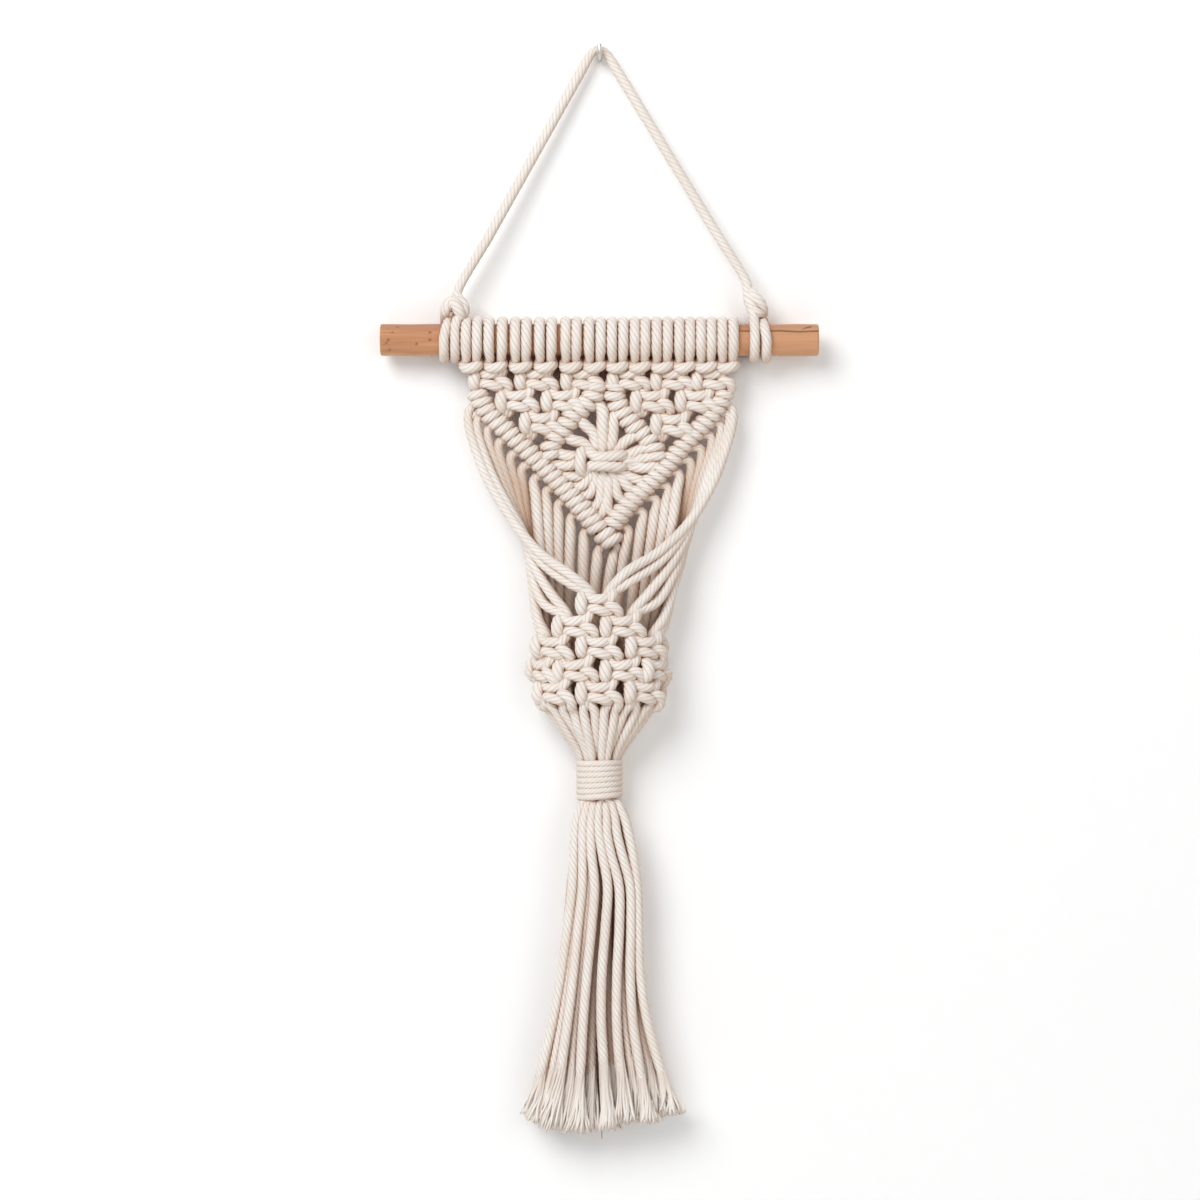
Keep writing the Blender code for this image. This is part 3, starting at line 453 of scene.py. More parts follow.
# ---------------- strands and knots
paths = {number: [] for number in range(1, 2 * CORD_COUNT + 1)}


def via(number, points, radius):
    """The strand passes these points, with that radius."""
    for point in points:
        paths[number].append((*point, radius))


def uneven(count):
    """A hand-made thing's small differences: -1 to 1, the same for the same count."""
    return math.sin(12.9898 * count)


def in_panel(x, z, forward=0.0):
    return np.array((x, PANEL_Y - forward, z))


def round_dowel(x, degrees, reach=TURN_R):
    """A point round the dowel, that many degrees up from its front."""
    a = math.radians(degrees)
    return x, PANEL_Y - reach * math.cos(a), DOWEL_Z + reach * math.sin(a)


def larks_head(index):
    """A folded cord on the dowel: its bar in front, both strands over the wood and down behind the bar."""
    middle = LARKS_HEADS_X[index]
    for side, number in ((-1, 2 * index + 1), (1, 2 * index + 2)):
        x = WRAPS_X[number - 1]
        for out, y, rise, lean, radius in LARKS_BAR:
            via(number, [(middle + out * side, y, LARKS_BAR_Z + rise + lean * side)], radius)
        for degrees, reach, radius in LARKS_TURN:
            via(number, [round_dowel(x, degrees, reach)], radius)
        for y, rise, radius in LARKS_FOOT:
            via(number, [(0.5 * (x + middle + LARKS_FOOT_X * side), y, LARKS_BAR_Z + rise)], radius)


def spread(middle, size, shares, across=RIGHT, out=FRONT):
    """Points at shares of a knot's width, height and depth from its middle."""
    width, height, depth = size
    return [middle + u * width * across + w * height * UP + o * depth * out for u, w, o in shares]


def square_knot(strands, *knot):
    """Four strands tied: the outer two work round the middle two. A knot is its middle, size and ways."""
    left, core_left, core_right, right = strands
    middle, size, *ways = knot
    via(core_left, spread(middle, size, KNOT_CORE, *ways), CORE_R)
    via(core_right, spread(middle, size, [(-u, w, o) for u, w, o in KNOT_CORE], *ways), CORE_R)
    via(left, spread(middle, size, KNOT_LEFT, *ways), KNOT_R)
    for share in KNOT_RIGHT:
        via(right, spread(middle, size, [share], *ways), BUMP_R if share[0] < -0.5 else KNOT_R)


def hitch(number, line, middle, advance, up, radius=HITCH_R):
    """A double half hitch: two turns of the strand round the line, over its front, from its upper side."""
    reach = HITCH_REACH * radius / HITCH_R
    for degrees in HITCH_TURNS:
        distance = middle + advance * (degrees - HITCH_MIDDLE) / 360
        a = math.radians(degrees)
        upward = np.cross(line.direction(distance), FRONT) * up
        via(number, [line.at(distance) + reach * (math.cos(a) * upward + math.sin(a) * FRONT)], radius)


def lead(number, line, start, end, radius=LEADER_R):
    """The band's own strand, straight through its turns."""
    count = max(2, int(abs(end - start) / 4))
    via(number, [line.at(d) for d in np.linspace(start, end, count)], radius)


def tie_band(name):
    """A leader laid along the band's line, and its strands hitched on it one after the other."""
    points, leader, hitched = BANDS[name]
    line = Line(points, 0.4 if "left" in name else 0.0)
    up = 1 if name in ("outer_left", "inner_right") else -1
    share = line.length / len(hitched)
    radius = min(2.65, share / 4 * 1.18)
    lead(leader, line, -1.0, line.length + 0.5)
    for i, number in enumerate(hitched):
        middle = (i + 0.5 + 0.04 * uneven(i)) * share
        hitch(number, line, middle, share / 2, up, radius * (1 + 0.05 * uneven(i + 7)))


def tie_flower():
    """Ten strands from the inner bands: the outermost two tied round the other eight."""
    for number, (above, _) in PETALS.items():
        via(number, [in_panel(x, z, 0.8) for x, z in above], 3.4 if number == 11 else 3.0)
    middle = in_panel(*FLOWER_KNOT, 1.0)
    for i, number in enumerate(FLOWER_CORE):
        u = -FLOWER_CORE_X + 2 * FLOWER_CORE_X * i / (len(FLOWER_CORE) - 1)
        layer = FLOWER_LAYERS[i % 2] / FLOWER_SIZE[2]
        shares = ((u, FLOWER_CORE_Z, layer), (u, -FLOWER_CORE_Z, layer))
        via(number, spread(middle, FLOWER_SIZE, shares), FLOWER_CORE_R)
    for number, shares in ((7, FLOWER_LEFT), (18, FLOWER_RIGHT)):
        via(number, spread(middle, FLOWER_SIZE, shares), 3.0)
    for number, (_, below) in PETALS.items():
        via(number, [in_panel(x, z, 0.6) for x, z in below], 2.8)


def on_ring(z, oval, sixths, middle_y=POCKET_Y, samples=720):
    """A point on an oval ring of these half sizes, the way along it there and the way out of it."""
    wide, deep = oval
    angles = np.linspace(0, FULL_TURN, samples + 1)
    middles = (angles[1:] + angles[:-1]) / 2
    steps = np.hypot(wide * np.cos(middles), deep * np.sin(middles)) * (FULL_TURN / samples)
    along = np.concatenate(([0.0], np.cumsum(steps)))
    angle = np.interp((sixths / POCKET_KNOTS % 1.0) * along[-1], along, angles)
    out = np.array((math.sin(angle) / wide, -math.cos(angle) / deep, 0.0))
    out /= np.linalg.norm(out)
    point = np.array((wide * math.sin(angle), middle_y - deep * math.cos(angle), z))
    return point, np.array((-out[1], out[0], 0.0)), out


def four_places(first):
    """The places along the V's edge of a pocket knot's strands, from its first one leftwards."""
    return [(first - k) % len(BELOW) for k in range(4)]


def first_knot(place):
    """The first knot of the strand from this place: its height, oval and sixths, and the strand's slot."""
    for z, *oval, knots in POCKET_ROWS:
        for sixths, first in knots.items():
            if place in four_places(first):
                return z, oval, sixths, four_places(first).index(place)


def tie_pocket():
    """The strands from the V's edge to their first knots, and then every knot of the pocket."""
    for place, number in enumerate(BELOW):
        x, z = STRAND_TOPS[place]
        via(number, [(x, PANEL_Y + 1.2, z)], 2.4)
        ring_z, oval, sixths, slot = first_knot(place)
        foot = on_ring(ring_z + 9.0, oval, sixths + KNOT_ENTRIES[slot])[0]
        if place in FORWARD:
            via(number, FORWARD[place], CORD_R)
        else:
            top = np.array((x, PANEL_Y, z))
            for share in (0.12, 0.4, 0.75):
                bow = math.sin(math.pi * share) * (1.5 * FRONT + 0.9 * uneven(place) * RIGHT)
                via(number, [top + (foot - top) * share + bow], LOOSE_R)
            via(number, [foot], LOOSE_R)
    for z, *oval, knots in POCKET_ROWS:
        for sixths, first in knots.items():
            middle, across, out = on_ring(z, oval, sixths)
            across = across + 0.07 * uneven(sixths + z) * UP
            square_knot([BELOW[place] for place in four_places(first)], middle, POCKET_KNOT_SIZE, across, out)


def gather():
    """From the last ring's knots through the gathering wrap. Returns where each strand comes out."""
    ends = {}
    for sixths, first in FULL_RING.items():
        for slot, place in enumerate(four_places(first)):
            number = BELOW[place]
            turn = sixths + KNOT_EXITS[slot]
            inside = round(turn * 4 + 1.5) % 3 == 1
            for i, (z, *oval, middle_y, radius) in enumerate(NECK_OUTER):
                share = 1.0 + (INNER_SHARE - 1.0) * min(1.0, i / 4) if inside else 1.0
                point = on_ring(z, [half * share for half in oval], turn, middle_y)[0]
                via(number, [point], radius)
            ends[number] = point
    return ends


def between(table, z):
    """A table's row at a height, where its first column is the height."""
    heights = np.array([row[0] for row in table])[::-1]
    values = np.array([row[1:] for row in table], float)[::-1]
    return [np.interp(z, heights, values[:, k]) for k in range(values.shape[1])]


def hang_tassel(ends, rng):
    """Sorts the strands into the tassel's rows and lets them hang. Returns where each rope ends."""
    order = sorted(ends, key=lambda number: ends[number][1])
    stops = {}
    for row, places in enumerate(TASSEL_ROWS):
        strands = sorted(order[:len(places)], key=lambda number: ends[number][0])
        order = order[len(places):]
        depth = 1 - 2 * row / (len(TASSEL_ROWS) - 1)
        for i, number in enumerate(strands):
            round_off = math.sqrt(1 - 0.45 * places[i] ** 2)
            sway = rng.uniform(-SWAY, SWAY, 3)
            for k, z in enumerate(STRAND_STOPS_Z):
                x, half_width, half_depth = between(TASSEL, z)
                x = between(FRONT_ROW, z)[i] if row == 0 else x + half_width * places[i]
                loose = min(1.0, k / 4)
                x += loose * sway[0] * math.sin(k * 1.1 + 3 * sway[1])
                y = PANEL_Y - PUSHED.get((row, i), 0.0) * loose - half_depth * depth * round_off
                y += loose * sway[2] * math.sin(k * 0.9)
                radius, = between(STRAND_RADII, z)
                if z == STRAND_STOPS_Z[-1]:
                    z += rng.uniform(-1.5, 1.5)
                via(number, [(x, y, z)], radius)
            stops[number] = np.array(paths[number][-2:])
    return stops


# ---------------- finishes
class Nodes:
    """A short way to build a material's nodes."""

    def __init__(self, name):
        self.material = bpy.data.materials.new(name)
        self.material.use_nodes = True
        self.tree = self.material.node_tree
        self.surface = self.tree.nodes["Principled BSDF"]

    def add(self, kind, settings=None, **inputs):
        """A new node's outputs. Its inputs are given by their names, or by their numbers as text."""
        node = self.tree.nodes.new("ShaderNode" + kind)
        for key, value in (settings or {}).items():
            setattr(node, key, value)
        self.set(node, inputs)
        return node.outputs

    def set(self, node, inputs):
        for key, value in inputs.items():
            socket = node.inputs[int(key) if key.isdigit() else key.replace("_", " ")]
            if isinstance(value, bpy.types.NodeSocket):
                self.tree.links.new(value, socket)
            else:
                socket.default_value = value

    def math(self, operation, a, b=0.0):
        return self.add("Math", {"operation": operation}, **{"0": a, "1": b})[0]

    def times(self, a, b):
        return self.math("MULTIPLY", a, b)

    def mix(self, factor, a, b):
        return self.add("Mix", {"data_type": "RGBA"}, **{"0": factor, "6": a, "7": b})[2]

    def where(self):
        return self.add("TexCoord")["Object"]

    def parts(self, vector):
        return self.add("SeparateXYZ", Vector=vector)

    def noise(self, vector, scale, detail=2.0, roughness=0.5):
        return self.add("TexNoise", Vector=vector, Scale=scale, Detail=detail, Roughness=roughness)["Fac"]

    def grain(self, where, scale, *detail):
        """Noise of its own fineness along x, y and z."""
        return self.noise(self.add("Mapping", Vector=where, Scale=scale)[0], 1.0, *detail)

    def open_air(self, samples, distance):
        """How open a place is: 0 where it is closed in, 1 where nothing is near."""
        return self.add("AmbientOcclusion", {"samples": samples}, Distance=distance)["AO"]

    def steps(self, value, low, high):
        smoothly = {"interpolation_type": "SMOOTHSTEP"}
        return self.add("MapRange", smoothly, Value=value, From_Min=low, From_Max=high)["Result"]

    def finish(self, colour, roughness, specular=0.5, bump=None, **others):
        """Sets the surface and returns the material. bump is a strength and a height."""
        others.update(Base_Color=colour, Roughness=roughness, Specular_IOR_Level=specular)
        if bump:
            strength, height = bump
            bumped = self.add("Bump", Strength=strength, Distance=BUMP_DEPTH, Height=height)
            others["Normal"] = bumped["Normal"]
        self.set(self.surface, others)
        return self.material


BUMP_DEPTH = 0.0003  # metres
COTTON_LIGHT = (0.80, 0.765, 0.73, 1)
FRINGE_LIGHT = (0.86, 0.815, 0.77, 1)
COTTON_WARM = (0.765, 0.705, 0.65, 1)
# The next colour is painted shade in the grooves between plies; the fringe's top is also tinted towards it.
COTTON_GROOVE_SHADE = (0.64, 0.53, 0.45, 1)
COTTON_SIDE_SHADE = (0.64, 0.49, 0.385, 1)  # painted shade on faces turned down and to the right, away from the light
COTTON_RECESS_SHADE = (0.56, 0.41, 0.31, 1)  # painted shade on the fronts of the strands that hang furthest back
COTTON_SHADE = (0.63, 0.44, 0.32, 1)  # where cords lie close together
COTTON_CREVICE_SHADE = (0.36, 0.155, 0.08, 1)  # painted shade in the crevices between them
PAINTED_LIGHT_SIDE = (-0.42, 0.72, 0.55)  # where the painted light comes from: up, to the left, and equally to the front and the back
RECESS_Y = (-0.0172, -0.0093)  # where the painted shade on deep-lying strands starts and is full, in metres
RECESS_Z = (-0.205, -0.165)  # it is full below the first height and gone above the second
FRINGE_TOP_Z = (-0.526, -0.506)
WOOD_DARK, WOOD_LIGHT = (0.46, 0.205, 0.10, 1), (0.61, 0.32, 0.17, 1)
WOOD_PATCH, WOOD_LINE = (0.34, 0.13, 0.055, 1), (0.25, 0.09, 0.04, 1)
# Of the next two, the second is painted shade on the rod's faces turned up.
WOOD_RIGHT, WOOD_TOP_SHADE = (0.68, 0.38, 0.21, 1), (0.34, 0.16, 0.10, 1)
WOOD_MARK = (0.10, 0.035, 0.018, 1)
RING_DARK, RING_LIGHT, SAWN = (0.50, 0.26, 0.14, 1), (0.64, 0.37, 0.22, 1), (0.36, 0.17, 0.09, 1)
WIRE_DARK, WIRE_LIGHT = (0.62, 0.59, 0.55, 1), (0.78, 0.76, 0.72, 1)
THREAD_BROWN = (0.30, 0.17, 0.11, 1)
# The second wall colour is painted shadow where the hanging closes the wall in.
WALL_WHITE, WALL_PAINTED_SHADOW = (0.9, 0.9, 0.9, 1), (0.14, 0.05, 0.032, 1)
FLOOR_WHITE = (0.85, 0.85, 0.84, 1)


def shaded(n, colour, crevices=True):
    """Painted shade in cotton's colour: warmer and darker on sides turned from the light, on the fronts of
    deep-lying strands and in the crevices.
    """
    surface = n.add("NewGeometry")
    turned, place = n.parts(surface["Normal"]), n.parts(surface["Position"])
    either = n.add("CombineXYZ", X=turned["X"], Y=n.math("ABSOLUTE", turned["Y"]), Z=turned["Z"])[0]
    facing = n.add("VectorMath", {"operation": "DOT_PRODUCT"}, **{"0": either, "1": PAINTED_LIGHT_SIDE})["Value"]
    # painted shade on sides turned from the light
    colour = n.mix(n.steps(facing, -0.6, 0.72), COTTON_SIDE_SHADE, colour)
    # painted shade on the fronts of deep-lying strands
    below = n.math("SUBTRACT", 1.0, n.steps(place["Z"], *RECESS_Z))
    front = n.steps(n.times(turned["Y"], -1.0), -0.1, 0.5)
    recess = n.times(n.times(n.steps(place["Y"], *RECESS_Y), front), below)
    colour = n.mix(recess, colour, COTTON_RECESS_SHADE)
    if not crevices:
        return colour
    # painted shade where cords lie close together, darkest in the crevices
    open_air = n.open_air(4, 0.02)
    close = n.mix(n.steps(open_air, 0.0, 0.3), COTTON_CREVICE_SHADE, COTTON_SHADE)
    return n.mix(n.steps(open_air, 0.1, 0.72), close, colour)


def cotton():
    """Undyed three-ply cotton: pale ply crests, painted shade in the grooves, fine fibres along each ply."""
    n = Nodes("cotton_cord")
    split = n.parts(n.add("UVMap", {"uv_map": "cord"})["UV"])
    grooves = []
    for lines in (1.0, 2.0):
        across = n.math("FRACT", n.times(split["X"], lines))
        from_middle = n.math("ABSOLUTE", n.math("SUBTRACT", n.times(across, 2.0), 1.0))
        rise = n.math("SUBTRACT", 1.0, from_middle)
        grooves.append(n.math("SUBTRACT", 1.0, n.steps(rise, 0.0, 0.2 * lines)))
    groove = n.math("MAXIMUM", grooves[0], n.times(grooves[1], 0.9))
    skewed = n.math("ADD", split["X"], n.times(split["Y"], -0.8))
    place = n.add("CombineXYZ", X=n.times(skewed, 9.0), Y=n.times(split["Y"], 2.2))[0]
    fibres = n.noise(place, 1.0, 3.0, 0.6)
    tone = n.mix(n.steps(n.noise(n.where(), 55.0), 0.35, 0.7), COTTON_LIGHT, COTTON_WARM)
    tone = n.mix(n.times(n.steps(fibres, 0.35, 0.75), 0.28), tone, COTTON_WARM)
    # painted shade in the grooves between plies
    colour = shaded(n, n.mix(groove, tone, COTTON_GROOVE_SHADE))
    return n.finish(colour, 0.92, 0.2, (0.55, fibres), Sheen_Weight=0.12, Sheen_Roughness=0.5,
                    Sheen_Tint=(1.0, 0.96, 0.9, 1))


def fringe_cotton():
    """Brushed-out yarn ends, with fine streaks along them."""
    n = Nodes("cotton_fringe")
    where = n.where()
    streaks = n.grain(where, (420, 420, 30))
    tone = n.mix(n.steps(streaks, 0.3, 0.7), FRINGE_LIGHT, COTTON_WARM)
    # darker towards its top, halfway to the grooves' painted-shade colour
    tone = n.mix(n.times(n.steps(n.parts(where)["Z"], *FRINGE_TOP_Z), 0.5), tone, COTTON_GROOVE_SHADE)
    return n.finish(shaded(n, tone, crevices=False), 0.95, 0.2, Sheen_Weight=0.2, Sheen_Roughness=0.5)


def wood():
    """Bare reddish-brown wood with fine long grain, dark in its pits and its crack, and painted shade on its
    upper side.
    """
    n = Nodes("dowel_wood")
    where = n.where()
    bands = n.grain(where, (9, 160, 160), 4.0, 0.6)
    fine = n.grain(where, (60, 1500, 1500))
    patches = n.grain(where, (18, 60, 60))
    upward = n.parts(n.add("NewGeometry")["Normal"])["Z"]
    tone = n.mix(n.steps(bands, 0.32, 0.68), WOOD_DARK, WOOD_LIGHT)
    # the last of these paints shade on the faces turned up
    for value, low, high, share, colour in (
            (patches, 0.45, 0.75, 0.42, WOOD_PATCH), (fine, 0.5, 0.8, 0.35, WOOD_LINE),
            (n.parts(where)["X"], 0.0, 0.09, 0.4, WOOD_RIGHT), (upward, 0.35, 1.0, 0.6, WOOD_TOP_SHADE)):
        tone = n.mix(n.times(n.steps(value, low, high), share), tone, colour)
    mark = n.add("Attribute", {"attribute_name": "mark"})["Fac"]
    roughness = n.math("ADD", n.times(fine, 0.2), 0.5)
    height = n.math("ADD", n.times(fine, 0.6), bands)
    return n.finish(n.mix(mark, tone, WOOD_MARK), roughness, 0.3, (0.35, height))


def end_grain():
    """The dowel's sawn ends: growth rings round a point off its middle."""
    n = Nodes("dowel_end_grain")
    where = n.where()
    moved = n.add("Mapping", Vector=where, Location=(0.0, 0.016, 0.139))[0]
    rings = n.add("TexWave", {"wave_type": "RINGS", "rings_direction": "X"}, Vector=moved, Scale=260.0,
                  Distortion=2.5, Detail=2.0)["Fac"]
    saw = n.grain(where, (10, 300, 2200))
    tone = n.mix(n.times(saw, 0.4), n.mix(rings, RING_DARK, RING_LIGHT), SAWN)
    return n.finish(tone, 0.85, bump=(0.4, saw))


def metal():
    """Bright wire with fine drawn lines."""
    n = Nodes("hook_metal")
    drawn = n.grain(n.where(), (3000, 400, 400))
    roughness = n.math("ADD", n.times(drawn, 0.2), 0.2)
    return n.finish(n.mix(drawn, WIRE_DARK, WIRE_LIGHT), roughness, Metallic=1.0)


# ---------------- pieces
def place_piece(piece, slot, *nodes):
    """The piece rides on the one body and stands for these solids. slot is not used."""
    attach(piece, "root")
    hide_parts(*nodes)


def make_cords(finish):
    """The twelve cords, tied from the dowel down. Returns the ends of their strands."""
    rng = np.random.default_rng(7)
    for index in range(CORD_COUNT):
        larks_head(index)
    for i, (x, z, first) in enumerate(PANEL_KNOTS):
        across = RIGHT + 0.06 * uneven(i) * UP
        square_knot(range(first, first + 4), in_panel(x, z), PANEL_KNOT_SIZE, across)
    for name in ("inner_left", "inner_right"):
        tie_band(name)
    tie_flower()
    for name in ("outer_left", "outer_right"):
        tie_band(name)
    left_end = BANDS["outer_left"][0][-1]
    joint = Line((left_end, JOINING_KNOT, (9.0, -245.5)), 0.6)
    lead(1, joint, 2.0, joint.length)
    hitch(24, joint, joint.length * 0.45, 4.4, 1, 2.75)
    tie_pocket()
    ends = gather()
    stops = hang_tassel(ends, rng)
    total = 0.0
    for index in range(CORD_COUNT):
        left, right = paths[2 * index + 1], paths[2 * index + 2]
        turned = rng.uniform(0, 2)
        cord, length = rope(f"cord_{index + 1:02d}", left[::-1] + right[1:], finish, phase=turned)
        total += length
        place_piece(cord, "cotton", "panel", "pocket", "tassel")
    print("cord length, m:", round(total / 1000, 2))
    return stops


def make_fringe(stops, finish):
    """Each strand's end brushed out into soft yarns that open as they fall."""
    rng = np.random.default_rng(23)
    edge_x, edge_z = np.array(FRINGE_EDGE).T
    sides, steps = YARN_SIDES, YARN_STEPS
    points, quads, triangles, count = [], [], [], 0
    around, _ = tube_faces(steps + 1, sides)
    for above, end in stops.values():
        way = (end - above)[:3]
        way /= -way[2]
        open_x, open_y = rng.uniform(4.6, 6.2), rng.uniform(2.8, 3.6)
        opened, ragged = rng.uniform(2.0, 12.0), rng.uniform(-1.2, 1.0)
        for yarn in range(YARNS):
            fine = yarn >= THICK_YARNS
            start = 2.4 * yarn + rng.uniform(-0.3, 0.3)
            inset = rng.uniform(0.8, 1.05) if fine or yarn % 4 else rng.uniform(0.2, 0.7)
            swirl = rng.uniform(-1.3, -0.8)
            sway, sway_turn = rng.uniform(0.3, 1.1), rng.uniform(0, FULL_TURN)
            thick = rng.uniform(0.16, 0.24) if fine else rng.uniform(0.66, 0.92)
            curl = rng.uniform(-1.8, 1.8)
            spread_by = rng.uniform(0.8, 1.1)
            top = end[2] + opened + rng.uniform(0.0, 6.0)
            short = rng.uniform(-1.0, 2.5) if fine else rng.uniform(0.0, 2.6)
            foot_x = end[0] + way[0] * (end[2] - FRINGE_Z) + open_x * inset * math.cos(start)
            foot_z = np.interp(foot_x, edge_x, edge_z) + ragged + short
            t = np.arange(steps + 1) / steps
            z = top + (foot_z - top) * t
            a = start + swirl * t
            across, deep = (inset * (YARNS_REACH + spread_by * (reach - YARNS_REACH) * t**1.7)
                            for reach in (open_x, open_y))
            wave = sway * t * np.sin(sway_turn + 7.5 * t)
            x = end[0] + way[0] * (end[2] - z) + across * np.cos(a) + wave + curl * t**4
            y = end[1] + way[1] * (end[2] - z) + deep * np.sin(a) + 0.5 * wave
            radius = thick * (1.0 - 0.1 * t)
            radius[[0, -1]] *= 0.65
            turn = FULL_TURN * np.arange(sides) / sides + start
            ring = (x[:, None] + np.outer(radius, np.cos(turn)),
                    np.minimum(y, -1.2)[:, None] + np.outer(radius, np.sin(turn)), np.tile(z[:, None], sides))
            first, last = count, count + steps * sides
            points.append(np.stack(ring, -1).reshape(-1, 3))
            quads.append(first + around[:, [0, 3, 2, 1]])
            for k in range(1, sides - 1):
                triangles += [(first, first + k, first + k + 1), (last, last + k + 1, last + k)]
            count += (steps + 1) * sides
    fringe = mesh_object("tassel_fringe", np.vstack(points), np.vstack(quads), triangles, finish)
    place_piece(fringe, "cotton", "tassel")


def make_thread(finish):
    """A loose end of thread below the fringe."""
    rows = [(1.2, -13.5, -532.0, 0.22), (1.3, -13.6, -536.0, 0.22), (1.1, -13.5, -539.0, 0.24),
            (1.3, -13.4, -541.4, 0.2)]
    place_piece(round_bar("loose_thread", rows, 6, finish), "cotton", "tassel")


def make_wrap(finish):
    """Seven leaning turns of thinner cord round the gathered strands."""
    half_width = WRAP_HALF_WIDTH - WRAP_CORD_R
    half_depth = WRAP_HALF_DEPTH - WRAP_CORD_R
    top, foot = WRAP_TOP_Z - WRAP_CORD_R, WRAP_BOTTOM_Z + WRAP_CORD_R
    rows = []
    for i in range(-WRAP_TUCKED, WRAP_TURNS * WRAP_STEPS + WRAP_TUCKED + 1):
        turn = i / WRAP_STEPS
        a = FULL_TURN * turn + math.pi
        share = 1.0 - 1.2 * max(0.0, -turn, turn - WRAP_TURNS)
        lean = (0.7 + 0.12 * turn) * math.sin(a)
        fall = (top - foot) / WRAP_TURNS * min(max(turn, 0.0), WRAP_TURNS)
        z = min(max(top + 1.2 - fall + lean, foot), top + 0.8)
        x, y = half_width * share * math.sin(a), PANEL_Y - half_depth * share * math.cos(a)
        rows.append((x, y, z, WRAP_CORD_R))
    coil, _ = rope("gather_coil", rows, finish, step=1.0, pitch=13.0)
    place_piece(coil, "cotton", "gather_wrap")


def dowel_turns(xs):
    """Points of a cord that goes round the dowel at each x: down its front, up its back, over its top."""
    rows = []
    for i, x in enumerate(xs):
        last = i == len(xs) - 1
        for degrees in range(35 if i == 0 else 0, -270 if last else -330, -45):
            share = min(1.0, max(0.0, (-degrees - 170) / 190))
            drift = 0.0 if last else (xs[i + 1] - x) * share
            rows.append((*round_dowel(x + drift, degrees), 2.65))
    return rows


def make_hanger(finish):
    """The cord over the hook, with both its knots and its turns round the dowel."""
    left, right = ([*before, *dowel_turns(turns), *after] for before, turns, after in HANGER_KNOTS)
    centre = HANGER_APEX - (0.0, 0.0, HANGER_BEND_R)
    feet = [np.array(rows[0][:3]) for rows in (left, right)]
    slopes = [math.atan2(centre[2] - foot[2], abs(foot[0] - centre[0])) for foot in feet]
    bend = [(*(centre + HANGER_BEND_R * np.array((math.sin(turn), 0.0, math.cos(turn)))), 2.35)
            for turn in np.linspace(-slopes[0], slopes[1], 7)]
    legs = []
    for foot, top in zip(feet, (bend[0], bend[-1])):
        rise = np.array(top[:3]) - foot
        legs.append([(*(foot + rise * share), CORD_R) for share in (0.25, 0.5, 0.75, 0.95)])
    rows = left[::-1] + legs[0] + bend + legs[1][::-1] + right
    cord, length = rope("hanger_rope", rows, finish)
    print("hanger cord length, m:", round(length / 1000, 3))
    place_piece(cord, "cotton", "hanger_cord")


def make_hook(finish):
    """The wire out of the wall, bent up and rounded at its tip."""
    rows = [(0, y, 0, HOOK_WIRE_R) for y in (0.0, -2.0, HOOK_BEND - HOOK_REACH)]
    for a in np.radians(np.arange(15, 91, 15)):
        rows.append((0, HOOK_BEND - HOOK_REACH - HOOK_BEND * math.sin(a), HOOK_BEND - HOOK_BEND * math.cos(a),
                     HOOK_WIRE_R))
    for a in np.radians((0, 30, 60, 85)):
        z, radius = HOOK_TIP_Z - HOOK_DOME, HOOK_WIRE_R - HOOK_DOME
        rows.append((0, -HOOK_REACH, z + HOOK_DOME * math.sin(a), radius + HOOK_DOME * math.cos(a)))
    place_piece(round_bar("hook_wire", rows, 24, finish), "metal", "hook")


DOWEL_PITS = (
    # x, z on the front, radius
    (-105.2, -142.5, 0.55), (-106.2, -144.0, 0.45), (-104.7, -147.4, 0.4), (-91.2, -144.5, 0.5),
    (-84.5, -142.5, 0.6), (-84.5, -138.5, 0.55), (-100.7, -135.7, 0.4), (-103.2, -138.5, 0.4),
)
CRACK = ((67.8, -137.6), (78.0, -137.9), (90.0, -137.6), (100.0, -138.1), (109.5, -137.7))
CRACK_BRANCH = ((99.5, -138.0), (102.5, -136.2), (106.0, -135.4))


def marks_at(x, z):
    """How strongly the front of the wood is pitted or cracked at x, z: 0 to 1."""
    mark = np.zeros_like(x)
    for pit_x, pit_z, size in DOWEL_PITS:
        mark = np.maximum(mark, np.exp(-((x - pit_x) ** 2 + (z - pit_z) ** 2) / size**2))
    for line in (CRACK, CRACK_BRANCH):
        xs, zs = np.array(line).T
        inside = np.clip((x - xs[0]) / 4, 0, 1) * (x < xs[-1] + 0.1)
        mark = np.maximum(mark, inside * np.exp(-((z - np.interp(x, xs, zs)) / 0.32) ** 2))
    return mark


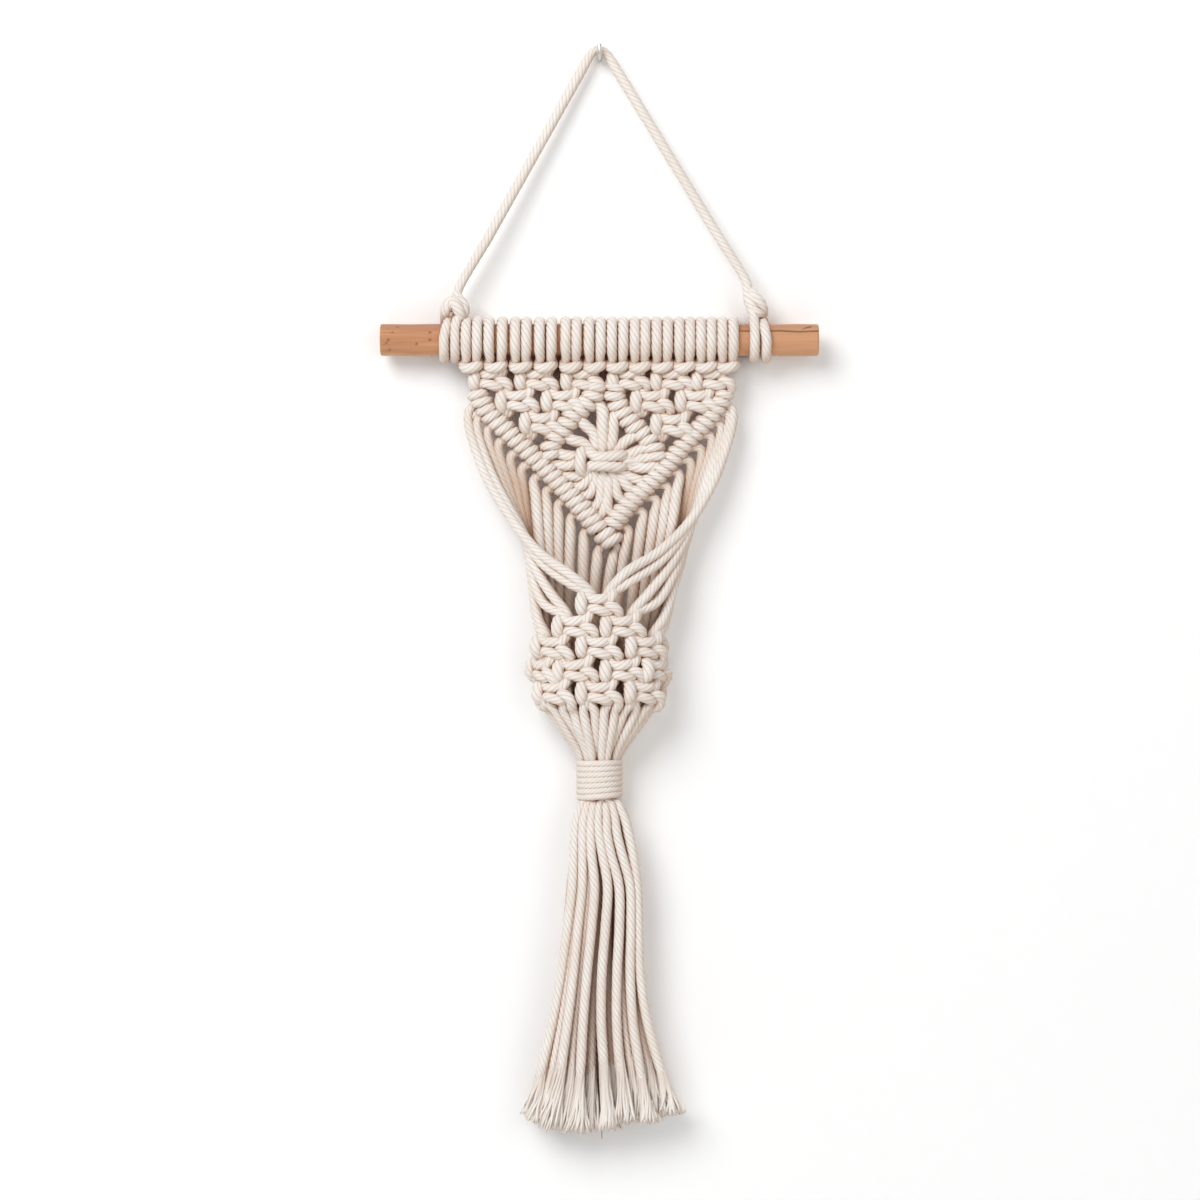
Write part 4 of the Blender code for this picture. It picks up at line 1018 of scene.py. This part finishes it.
def make_dowel(finish, end_finish):
    """The rod, a little uneven, with broken end edges, small pits near its left end, a crack at its right."""
    half, edge, sides = DOWEL_LENGTH / 2, 0.8, 112
    end = [(half, DOWEL_R - edge), (half - 0.15, DOWEL_R - 0.35), (half - edge, DOWEL_R)]
    stations = [(-x, radius) for x, radius in end]
    stations += [(x, DOWEL_R) for x in np.arange(-half + 1.5, half - 1.2, 0.7)]
    xs, radii = np.array(stations + end[::-1]).T
    x, a = np.meshgrid(xs, FULL_TURN * np.arange(sides) / sides, indexing="ij")
    y, z = -np.cos(a), np.sin(a)
    mark = marks_at(x, DOWEL_Z + DOWEL_R * z) * (y < 0)
    uneven_by = 0.05 * np.sin(x * 0.11 + 2 * a) + 0.04 * np.sin(x * 0.31 - 3 * a + 1.0) - 0.06
    radius = radii[:, None] + uneven_by - 0.45 * mark
    points = np.stack((x, PANEL_Y + radius * y, DOWEL_Z + radius * z), -1).reshape(-1, 3)
    points = np.vstack((points, ((-half, PANEL_Y, DOWEL_Z), (half, PANEL_Y, DOWEL_Z))))
    quads, triangles = tube_faces(len(xs), sides)
    quads, triangles = quads[:, [0, 3, 2, 1]], triangles[:, [0, 2, 1]]  # turned to face outwards
    rod = mesh_object("dowel_rod", points, quads, triangles, finish)
    rod.data.materials.append(end_finish)
    is_end = np.zeros(len(rod.data.polygons), np.int32)
    is_end[-len(triangles):] = 1
    rod.data.polygons.foreach_set("material_index", is_end)
    rod.data.set_sharp_from_angle(angle=math.radians(50))
    layer = rod.data.attributes.new("mark", "FLOAT", "POINT")
    layer.data.foreach_set("value", np.concatenate((mark.ravel(), (0.0, 0.0))).astype(np.float32))
    place_piece(rod, "wood", "dowel")


# ---------------- stage, light and camera
def make_stage():
    """A white wall behind the hanging, seen from its front alone, with painted shadow where the hanging
    closes it in, and a pale floor far below it.
    """
    n = Nodes("stage_wall")
    # painted shadow, warm and dark, where the hanging closes the wall in
    n.finish(n.mix(n.steps(n.open_air(8, 0.022), 0.28, 0.4), WALL_PAINTED_SHADOW, WALL_WHITE), 0.9, 0.1)
    clear, back = n.add("BsdfTransparent")[0], n.add("NewGeometry")["Backfacing"]
    both = n.add("MixShader", **{"0": back, "1": n.surface.outputs[0], "2": clear})[0]
    n.set(n.tree.nodes["Material Output"], {"Surface": both})
    wide, deep, high, low, wall_y = 3000, 4000, 1600, -1300, 0.3
    corners = ((-1, 0), (1, 0), (1, 1), (-1, 1))
    wall_points = [(x * wide, wall_y, (low, high)[z]) for x, z in corners]
    floor_points = [(x * wide, (-deep, deep)[y], low) for x, y in corners]
    floor_finish = Nodes("stage_floor").finish(FLOOR_WHITE, 0.9, 0.1)
    wall = mesh_object("stage_wall", wall_points, [range(4)], [], n.material)
    floor = mesh_object("stage_floor", floor_points, [range(4)], [], floor_finish)
    wall.visible_shadow = False


def make_light():
    """A big soft light from the upper left, a weak one from the right and one for the back."""
    middle = Vector((0.0, -0.013, -0.27))
    for name, place, size, power in (("key", (-1.1, -2.0, 1.1), 1.7, 50), ("fill", (1.2, -2.4, 0.1), 2.0, 14),
                                     ("rear", (0.8, 1.8, 0.9), 1.5, 26)):
        lamp = bpy.data.lights.new(name, "AREA")
        lamp.shape, lamp.size, lamp.energy = "DISK", size, power
        placed(name, lamp, place, (middle - Vector(place)).to_track_quat("-Z", "Y").to_euler())
    world = bpy.data.worlds.new("studio")
    world.use_nodes = True
    background = world.node_tree.nodes["Background"].inputs
    background["Color"].default_value = (1, 1, 1, 1)
    background["Strength"].default_value = 0.35
    bpy.context.scene.world = world
    bpy.context.scene.view_settings.view_transform = "Standard"


def make_camera():
    """Square on to the front, 0.6 m across the square frame."""
    lens = bpy.data.cameras.new("camera")
    lens.lens, lens.sensor_width = 130, 36
    place = (0.00025, -0.013 - 0.6 * lens.lens / lens.sensor_width, -0.272)
    bpy.context.scene.camera = placed("camera", lens, place, (math.radians(90), 0, 0))


make_camera()
make_stage()
make_light()
cord_finish = cotton()
strand_ends = make_cords(cord_finish)
make_fringe(strand_ends, fringe_cotton())
make_thread(Nodes("brown_thread").finish(THREAD_BROWN, 0.8, 0.1))
make_wrap(cord_finish)
make_hanger(cord_finish)
make_dowel(wood(), end_grain())
make_hook(metal())
